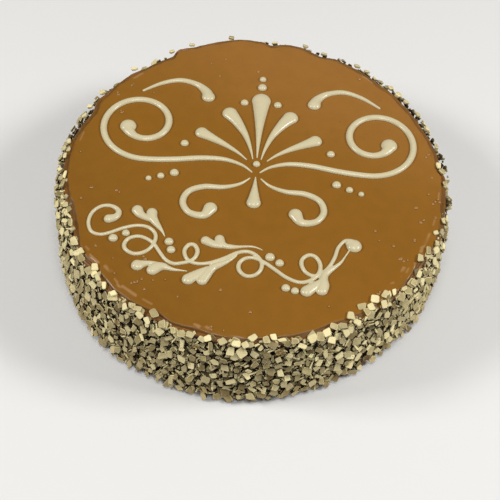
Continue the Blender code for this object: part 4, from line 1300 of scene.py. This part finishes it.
def scatter_tree():
    """Geometry Nodes that lay nuts over a guide surface, each turned, tilted and sunk at random."""
    tree = new_group("lay_nuts", {
        "Nuts": "Collection", "Finish": "Material", "Spacing": "Float", "Seed": "Int",
        "Smallest": "Float", "Largest": "Float", "Lift": "Float", "Tilt": "Float", "Sink": "Float",
        "Darkest": "Float", "Lightest": "Float",
    })
    given = tree.node("NodeGroupInput")
    spread = tree.node(
        "GeometryNodeDistributePointsOnFaces", {"distribute_method": "POISSON"},
        {"Mesh": given.out("Geometry"), "Distance Min": given.out("Spacing"),
         "Density Max": POINTS_TRIED / (given.value("Spacing") * given.value("Spacing")),
         "Seed": given.out("Seed")},
    )
    upwards = tree.node("ShaderNodeCombineXYZ", None, {"Z": given.out("Lift")})
    facing = tree.node(
        "ShaderNodeVectorMath", {"operation": "ADD"}, {0: spread.out("Normal"), 1: upwards}
    )
    lifted = tree.node("FunctionNodeAlignRotationToVector", {"axis": "Z"}, {"Vector": facing})
    tilt = given.value("Tilt")
    lowest = tree.node("ShaderNodeCombineXYZ", None, {"X": 0.0 - tilt, "Y": 0.0 - tilt, "Z": 0.0})
    highest = tree.node("ShaderNodeCombineXYZ", None, {"X": tilt, "Y": tilt, "Z": math.tau})
    lean = tree.node(
        "FunctionNodeRandomValue", {"data_type": "FLOAT_VECTOR"},
        {"Min": lowest, "Max": highest, "Seed": given.value("Seed") + 1},
    )
    spin = tree.node("ShaderNodeSeparateXYZ", None, {"Vector": lean})
    flat_spin = tree.node("ShaderNodeCombineXYZ", None, {"Z": spin.out("Z")})
    leaning = tree.node("ShaderNodeCombineXYZ", None, {"X": spin.out("X"), "Y": spin.out("Y")})
    turned = tree.node(
        "FunctionNodeRotateRotation", {"rotation_space": "LOCAL"},
        {"Rotation": lifted,
         "Rotate By": tree.node("FunctionNodeEulerToRotation", None, {"Euler": flat_spin})},
    )
    turned = tree.node(
        "FunctionNodeRotateRotation", {"rotation_space": "LOCAL"},
        {"Rotation": turned,
         "Rotate By": tree.node("FunctionNodeEulerToRotation", None, {"Euler": leaning})},
    )
    depth = tree.node(
        "FunctionNodeRandomValue", None,
        {"Min": 0.0, "Max": given.out("Sink"), "Seed": given.value("Seed") + 2},
    )
    inwards = tree.node(
        "ShaderNodeVectorMath", {"operation": "SCALE"},
        {"Vector": spread.out("Normal"), "Scale": 0.0 - depth.value()},
    )
    points = tree.node(
        "GeometryNodeSetPosition", None, {"Geometry": spread.out("Points"), "Offset": inwards}
    )
    size = tree.node(
        "FunctionNodeRandomValue", None,
        {"Min": given.out("Smallest"), "Max": given.out("Largest"), "Seed": given.value("Seed") + 3},
    )
    shapes = tree.node(
        "GeometryNodeCollectionInfo", None,
        {"Collection": given.out("Nuts"), "Separate Children": True, "Reset Children": True},
    )
    laid = tree.node(
        "GeometryNodeInstanceOnPoints", None,
        {"Points": points, "Instance": shapes, "Pick Instance": True, "Rotation": turned, "Scale": size},
    )
    tint = tree.node("FunctionNodeRandomValue", None, {"Seed": given.value("Seed") + 4})
    tinted = tree.node(
        "GeometryNodeStoreNamedAttribute", {"data_type": "FLOAT", "domain": "INSTANCE"},
        {"Geometry": laid, "Name": "tint", "Value": tint},
    )
    # A random painted shade for each nut, between the layer's darkest and lightest.
    shade = tree.node(
        "FunctionNodeRandomValue", None,
        {"Min": given.out("Darkest"), "Max": given.out("Lightest"), "Seed": given.value("Seed") + 5},
    )
    shaded = tree.node(
        "GeometryNodeStoreNamedAttribute", {"data_type": "FLOAT", "domain": "INSTANCE"},
        {"Geometry": tinted, "Name": "shade", "Value": shade},
    )
    whole = tree.node("GeometryNodeRealizeInstances", None, {"Geometry": shaded})
    coloured = tree.node(
        "GeometryNodeSetMaterial", None, {"Geometry": whole, "Material": given.out("Finish")}
    )
    tree.node("NodeGroupOutput", None, {"Geometry": coloured})
    return tree.nodes


def nut_finish(settings):
    """Matte blanched nuts: cream to olive by chip, with a painted highlight along their edges, painted
    shade low on each nut and on the deeper layers, and a painted warm reflection towards the foot.
    """
    finish = Finish("diced_blanched_nuts", Specular_IOR_Level=NUT_SPECULAR)
    tint = finish.attribute("tint")
    grain = finish.noise(NUT_GRAIN_SIZE, detail=4.0, roughness=0.6)
    patch = finish.noise(NUT_PATCH_SIZE) - 0.5
    greyer = finish.step(tint + NUT_PATCH_SHARE * patch, *OLIVE_TINTS)
    colour = finish.mix(greyer, settings.cream, settings.olive)
    # Painted warm reflection towards the foot.
    foot = 1.0 - finish.step(finish.z + BOUNCE_WANDER * patch, *BOUNCE_HEIGHTS)
    colour = finish.mix(BOUNCE_SHARE * foot, colour, settings.painted_warm_bounce)
    colour = finish.darker(colour, between(grain, NUT_GRAIN_SHADES))
    # Painted highlight along the chamfered edges.
    colour = finish.mix(EDGE_HIGHLIGHT_SHARE * finish.attribute("edge"), colour, settings.cream)
    skinned = finish.step(tint, *SKINNED_TINTS)
    skinned = skinned * finish.step(finish.noise(SKIN_PATCH_SIZE), *SKIN_PATCH_RANGE)
    colour = finish.mix(SKIN_SHARE * skinned, colour, settings.skin)
    # Painted shade: the darker nuts turn browner and darker.
    shade = finish.attribute("shade")
    colour = finish.mix(SHADE_BROWNING_SHARE * (1.0 - shade), colour, settings.skin)
    colour = finish.darker(colour, shade)
    # Painted shade on the low part of each nut, thinned out near the rim.
    low_shade = LOW_SHADE_SHARE * finish.step(finish.attribute("low"), *LOW_SHADE_RANGE)
    open_rim = OPEN_RIM_SHARE * finish.step(finish.z, CAKE_HEIGHT - RIM_OPENS, CAKE_HEIGHT)
    colour = finish.mix(low_shade * (1.0 - open_rim), colour, settings.gap)
    finish.feed("Base Color", colour)
    finish.feed("Roughness", between(grain, NUT_ROUGHNESS))
    fine = finish.noise(NUT_FINE_SIZE, detail=3.0, roughness=0.6)
    finish.bump(grain + NUT_FINE_SHARE * fine, NUT_BUMP)
    return finish.material


def lay_nuts(name, layer, tree, finish, settings):
    """One layer of nuts as a plain mesh."""
    shapes = chip_collection(f"{name}_shapes", layer["shapes"])
    guide = new_object(name + "_guide", guide_ring(*[value * MM for value in layer["guide"]]))
    modifier = guide.modifiers.new("Lay nuts", "NODES")
    modifier.node_group = tree
    set_inputs(modifier, {
        "Nuts": shapes, "Finish": finish, "Spacing": getattr(settings, layer["spacing"]),
        "Seed": layer["seed"], "Smallest": layer["sizes"][0], "Largest": layer["sizes"][1],
        "Lift": settings.lift, "Tilt": settings.tilt * layer["tilt"], "Sink": layer["sink"] * MM,
        "Darkest": layer["shade"][0], "Lightest": layer["shade"][1],
    })
    piece = new_object(name, evaluated_mesh(guide))
    bpy.data.objects.remove(guide, do_unlink=True)
    for shape in list(shapes.objects):
        bpy.data.objects.remove(shape, do_unlink=True)
    bpy.data.collections.remove(shapes)
    for vertex in piece.data.vertices:
        vertex.co = in_box(vertex.co, BOX_MARGIN)
        vertex.co.z = max(vertex.co.z, FLOOR_CLEARANCE)
    return piece


def rim_dice_mesh():
    """The dice that lie on the rim, each at its own place, leaning out over the shoulder."""
    draw = random.Random(RIM_DICE_SEED)
    bm = new_chips("tint", "shade")
    tint = bm.faces.layers.float["tint"]
    shade = bm.faces.layers.float["shade"]
    for turn, distance, along_x, along_y, spin in RIM_DICE:
        angle = math.radians(turn)
        out = Vector((math.cos(angle), math.sin(angle), 0.0))
        over = max(0.0, distance - crease_radius(angle) / MM)
        thickness = draw.uniform(*RIM_DIE_THICKNESS)
        lean = math.radians(min(RIM_LEAN_LIMIT, RIM_LEAN * over) + draw.uniform(-RIM_TILT, RIM_TILT))
        height = CAKE_HEIGHT + RIM_DIE_LIFT + thickness / 2 - RIM_DROP * over ** 2
        place = (
            Matrix.Translation(out * distance * MM + Vector((0.0, 0.0, height)))
            @ Matrix.Rotation(lean, 4, Vector((-out.y, out.x, 0.0)))
            @ Matrix.Rotation(math.radians(draw.uniform(-RIM_TILT, RIM_TILT)), 4, out)
            @ Matrix.Rotation(math.radians(spin), 4, "Z")
        )
        made = add_chip(
            bm, draw, 4, along_x * MM, along_y * MM, thickness, RIM_DIE_CHAMFER, RIM_DIE_CUT, place,
        )
        colour, bright = draw.uniform(*RIM_DIE_TINTS), draw.uniform(*RIM_DIE_SHADES)
        for face in made:
            face[tint] = colour
            face[shade] = bright
    return chips_mesh("nut_rim_dice", bm)


class CAKE_OT_nuts(bpy.types.Operator):
    """Press the diced nuts on the cake's side, one layer after another, and lay some on the rim"""

    bl_idname = "cake.nuts"
    bl_label = "Press on the nuts"

    def execute(self, context):
        settings = context.scene.cake_nuts
        tree = scatter_tree()
        finish = nut_finish(settings)
        for name, layer in NUT_LAYERS.items():
            finish_piece(lay_nuts(name, layer, tree, finish, settings), "nuts", COAT_NODE)
        rim_dice = new_object("nut_rim_dice", rim_dice_mesh())
        rim_dice.data.materials.append(finish)
        finish_piece(rim_dice, "nuts", COAT_NODE)
        return {"FINISHED"}


def piping_tree():
    """Geometry Nodes that pipe icing along lines: a round bead of the line's own half width, flattened."""
    tree = new_group("pipe_icing", {
        "Finish": "Material", "Sample Length": "Float", "Base": "Float", "Full Height": "Float",
        "Spread": "Float", "Sunk": "Float",
    })
    given = tree.node("NodeGroupInput")
    width = tree.node("GeometryNodeInputNamedAttribute", {"data_type": "FLOAT"}, {"Name": "half_width"})
    line = tree.node("GeometryNodeMeshToCurve", None, {"Mesh": given.out("Geometry")})
    line = tree.node("GeometryNodeCurveSplineType", {"spline_type": "CATMULL_ROM"}, {"Curve": line})
    line = tree.node(
        "GeometryNodeResampleCurve", {"mode": "LENGTH"},
        {"Curve": line, "Length": given.out("Sample Length")},
    )
    ring = tree.node(
        "GeometryNodeCurvePrimitiveCircle", None, {"Resolution": PIPING_SIDES, "Radius": 1.0}
    )
    rope = tree.node(
        "GeometryNodeCurveToMesh", None,
        {"Curve": line, "Profile Curve": ring, "Scale": width.out("Attribute"), "Fill Caps": True},
    )
    ends = tree.node("GeometryNodeCurveEndpointSelection", None, {"Start Size": 1, "End Size": 1})
    ball = tree.node(
        "GeometryNodeMeshIcoSphere", None, {"Radius": 1.0, "Subdivisions": PIPING_END_SUBDIVISIONS}
    )
    balls = tree.node(
        "GeometryNodeInstanceOnPoints", None,
        {"Points": line, "Selection": ends, "Instance": ball.out("Mesh"),
         "Scale": width.out("Attribute")},
    )
    balls = tree.node("GeometryNodeRealizeInstances", None, {"Geometry": balls})
    joined = tree.node("GeometryNodeJoinGeometry", None, {"Geometry": rope})
    tree.connect(joined.node.inputs["Geometry"], balls)
    place = tree.node("ShaderNodeSeparateXYZ", None, {"Vector": tree.node("GeometryNodeInputPosition")})
    half = width.value("Attribute")
    level_off = tree.node(
        "ShaderNodeMath", {"operation": "EXPONENT"}, {0: 0.0 - half / given.value("Spread")}
    ).value()
    height = given.value("Full Height") * (1.0 - level_off)
    share = place.value("Z") / half
    above = share > 0.0
    rise = share * (above * height + (1.0 - above) * given.value("Sunk"))
    flattened = tree.node(
        "ShaderNodeCombineXYZ", None,
        {"X": place.out("X"), "Y": place.out("Y"), "Z": given.value("Base") + rise},
    )
    laid = tree.node("GeometryNodeSetPosition", None, {"Geometry": joined, "Position": flattened})
    coloured = tree.node(
        "GeometryNodeSetMaterial", None, {"Geometry": laid, "Material": given.out("Finish")}
    )
    tree.node("NodeGroupOutput", None, {"Geometry": coloured})
    return tree.nodes


def icing_finish(settings):
    """Cream-white icing, softly glossy, with a faintly uneven skin."""
    finish = Finish("piped_white_icing", Specular_IOR_Level=ICING_SPECULAR)
    clouds = finish.noise(ICING_CLOUD_SIZE, detail=3.0)
    finish.feed("Base Color", finish.darker(settings.colour, between(clouds, ICING_SHADES)))
    finish.feed("Roughness", settings.roughness + between(clouds, ICING_STREAK_ROUGHNESS))
    lumps = finish.noise(ICING_LUMP_SIZE) + ICING_GRAIN_SHARE * finish.noise(ICING_GRAIN_SIZE)
    finish.bump(lumps, ICING_BUMP)
    return finish.material


def line_mesh(strokes):
    """Strokes in millimetres as loose lines at the height zero, with the half width at each point."""
    points = []
    links = []
    for stroke in strokes:
        first = len(points)
        points += stroke
        links += [(index, index + 1) for index in range(first, len(points) - 1)]
    mesh = bpy.data.meshes.new("piping_lines")
    mesh.from_pydata([(x * MM, y * MM, 0.0) for x, y, _ in points], links, [])
    widths = mesh.attributes.new("half_width", "FLOAT", "POINT")
    for spot, point in zip(widths.data, points):
        spot.value = point[2] * MM
    return mesh


def pipe(name, strokes, tree, finish, settings):
    """One piece of icing: strokes piped along their lines, melted together and smoothed."""
    line = new_object(name + "_line", line_mesh(strokes))
    modifier = line.modifiers.new("Pipe", "NODES")
    modifier.node_group = tree
    set_inputs(modifier, {
        "Finish": finish, "Sample Length": PIPING_SAMPLE, "Base": ICING_BASE - SUNK_BASE,
        "Full Height": PIPING_FULL_HEIGHT + SUNK_BASE, "Spread": PIPING_SPREAD, "Sunk": SUNK_BASE,
    })
    melt = line.modifiers.new("Melt together", "REMESH")
    melt.mode = "VOXEL"
    melt.voxel_size = settings.grain
    settle = line.modifiers.new("Settle", "SMOOTH")
    settle.factor = SETTLE_SHARE
    settle.iterations = SETTLE_TIMES
    piece = new_object("icing_" + name, evaluated_mesh(line))
    bpy.data.objects.remove(line, do_unlink=True)
    piece.data.materials.clear()
    piece.data.materials.append(finish)
    piece.data.shade_smooth()
    finish_piece(piece, "icing", name)


def bead(spot):
    """A dot of icing, as a stroke that is too short to see."""
    x, y, width = spot
    return [(x, y, width), (x + BEAD_LENGTH, y, width)]


class CAKE_OT_vine(bpy.types.Operator):
    """Pipe the looped vine with its leaves and dots"""

    bl_idname = "cake.vine"
    bl_label = "Pipe the vine"

    def execute(self, context):
        settings = context.scene.cake_icing
        tree = piping_tree()
        finish = icing_finish(settings)
        on_stem = [stroke for leaf in LEAVES_ON_STEM for stroke in VINE_LEAVES[leaf]]
        pipe("vine_stem", [VINE_STEM, *on_stem], tree, finish, settings)
        for leaf, strokes in VINE_LEAVES.items():
            if leaf not in LEAVES_ON_STEM:
                pipe(f"vine_leaf_{leaf}", strokes, tree, finish, settings)
        for index, spot in enumerate(VINE_DOTS):
            pipe(f"vine_dot_{index + 1}", [bead(spot)], tree, finish, settings)
        return {"FINISHED"}


def volute_points():
    """Points of the scroll's spiral, from its outer start at the bottom to its eye."""
    points = []
    steps = round(VOLUTE_TURN / VOLUTE_STEP)
    for step in range(steps + 1):
        share = step / steps
        turn = math.radians(VOLUTE_START + VOLUTE_TURN * share)
        radius = VOLUTE_RADIUS + (VOLUTE_EYE_RADIUS - VOLUTE_RADIUS) * share ** VOLUTE_TIGHTENING
        start, middle, eye = VOLUTE_WIDTHS
        swelling = max(0.0, 1.0 - (1.0 - share) / VOLUTE_EYE_SHARE) ** 2
        width = start + (middle - start) * share + (eye - middle) * swelling
        points.append((
            VOLUTE_CENTRE[0] + radius * math.cos(turn),
            VOLUTE_CENTRE[1] + radius * math.sin(turn),
            width,
        ))
    return points


def mirrored(points):
    """The same stroke or bead list on the other side of x = 0."""
    return [(-x, y, width) for x, y, width in points]


class CAKE_OT_scrollwork(bpy.types.Operator):
    """Pipe the symmetric scroll ornament"""

    bl_idname = "cake.scrollwork"
    bl_label = "Pipe the scrollwork"

    def execute(self, context):
        settings = context.scene.cake_icing
        tree = piping_tree()
        finish = icing_finish(settings)
        for name, points in {"scroll": SCROLL_LEAD + volute_points(), **PAIRED_STROKES}.items():
            pipe(f"{name}_right", [points], tree, finish, settings)
            pipe(f"{name}_left", [mirrored(points)], tree, finish, settings)
        for name, points in MIDDLE_STROKES.items():
            pipe(name, [points], tree, finish, settings)
        beads = MIDDLE_BEADS + PAIRED_BEADS + mirrored(PAIRED_BEADS)
        for index, spot in enumerate(beads):
            pipe(f"scroll_bead_{index + 1}", [bead(spot)], tree, finish, settings)
        return {"FINISHED"}


class CAKE_OT_stage(bpy.types.Operator):
    """Set up the floor, the soft lights and the camera"""

    bl_idname = "cake.stage"
    bl_label = "Set the stage"

    def execute(self, context):
        settings = context.scene.cake_stage
        self.lay_floor(settings)
        for name, place, size, power in SOFT_LIGHTS:
            self.hang_light(name, Vector(place), size, power)
        self.light_world(context.scene)
        self.place_camera(context.scene, settings)
        context.scene.view_settings.view_transform = "Standard"
        return {"FINISHED"}

    @staticmethod
    def lay_floor(settings):
        """A plain pale floor."""
        bm = bmesh.new()
        bmesh.ops.create_grid(
            bm, x_segments=FLOOR_SQUARES, y_segments=FLOOR_SQUARES, size=settings.floor_size / 2,
        )
        mesh = bpy.data.meshes.new("floor")
        bm.to_mesh(mesh)
        bm.free()
        floor = new_object("floor", mesh)
        finish = Finish(
            "pale_floor", Roughness=FLOOR_ROUGHNESS, Specular_IOR_Level=FLOOR_SPECULAR,
        )
        shade = between(finish.noise(FLOOR_CLOUD_SIZE), FLOOR_SHADES)
        finish.feed("Base Color", finish.darker(settings.floor_colour, shade))
        mesh.materials.append(finish.material)

    @staticmethod
    def hang_light(name, place, size, power):
        """A square area light that points at the middle of the cake."""
        lamp = bpy.data.lights.new(name, "AREA")
        lamp.shape = "SQUARE"
        lamp.size = size
        lamp.energy = power
        light = bpy.data.objects.new(name, lamp)
        target = Vector((0.0, 0.0, CAKE_HEIGHT / 2))
        aim = (place - target).to_track_quat("Z", "Y").to_matrix().to_4x4()
        light.matrix_world = Matrix.Translation(place) @ aim
        bpy.context.scene.collection.objects.link(light)

    @staticmethod
    def light_world(scene):
        """An even pale surrounding."""
        world = bpy.data.worlds.new("studio")
        world.use_nodes = True
        background = world.node_tree.nodes["Background"]
        background.inputs["Color"].default_value = (*WORLD_COLOUR, 1.0)
        background.inputs["Strength"].default_value = WORLD_STRENGTH
        scene.world = world

    @staticmethod
    def place_camera(scene, settings):
        """The camera at the photographed angle."""
        lens = bpy.data.cameras.new("camera")
        lens.lens = settings.lens
        camera = bpy.data.objects.new("camera", lens)
        elevation = settings.camera_elevation
        away = Vector((0.0, -math.cos(elevation), math.sin(elevation)))
        place = Vector((0.0, 0.0, CAKE_HEIGHT)) + away * settings.camera_distance
        turn = (
            Matrix.Rotation(math.pi / 2 - elevation + settings.camera_pitch, 4, "X")
            @ Matrix.Rotation(settings.camera_roll, 4, "Z")
        )
        camera.matrix_world = Matrix.Translation(place) @ turn
        scene.collection.objects.link(camera)
        scene.camera = camera


class CAKE_PT_panel(bpy.types.Panel):
    """Sidebar panel with the steps of building the cake."""

    bl_idname = "CAKE_PT_panel"
    bl_label = "Cake"
    bl_space_type = "VIEW_3D"
    bl_region_type = "UI"
    bl_category = "Cake"

    def draw(self, context):
        """List each step with the settings it reads."""
        for group, operators in PANEL_STEPS.items():
            box = self.layout.box()
            settings = getattr(context.scene, group)
            for name in SETTINGS[group].__annotations__:
                box.prop(settings, name)
            for operator in operators:
                box.operator(operator.bl_idname)


PANEL_STEPS = {
    "cake_glaze": (CAKE_OT_glaze,),
    "cake_nuts": (CAKE_OT_nuts,),
    "cake_icing": (CAKE_OT_vine, CAKE_OT_scrollwork),
    "cake_stage": (CAKE_OT_stage,),
}
OPERATORS = tuple(operator for operators in PANEL_STEPS.values() for operator in operators)


def register():
    """Register the classes and put the settings on the scene."""
    for group in (*SETTINGS.values(), *OPERATORS, CAKE_PT_panel):
        bpy.utils.register_class(group)
    for name, group in SETTINGS.items():
        setattr(bpy.types.Scene, name, bpy.props.PointerProperty(type=group))


def unregister():
    """Take the settings and the classes away again."""
    for name in SETTINGS:
        delattr(bpy.types.Scene, name)
    for group in reversed((*SETTINGS.values(), *OPERATORS, CAKE_PT_panel)):
        bpy.utils.unregister_class(group)


def main():
    """Build the cake and its stage."""
    register()
    bpy.ops.cake.glaze()
    bpy.ops.cake.nuts()
    bpy.ops.cake.vine()
    bpy.ops.cake.scrollwork()
    bpy.ops.cake.stage()


if __name__ == "__main__":
    main()
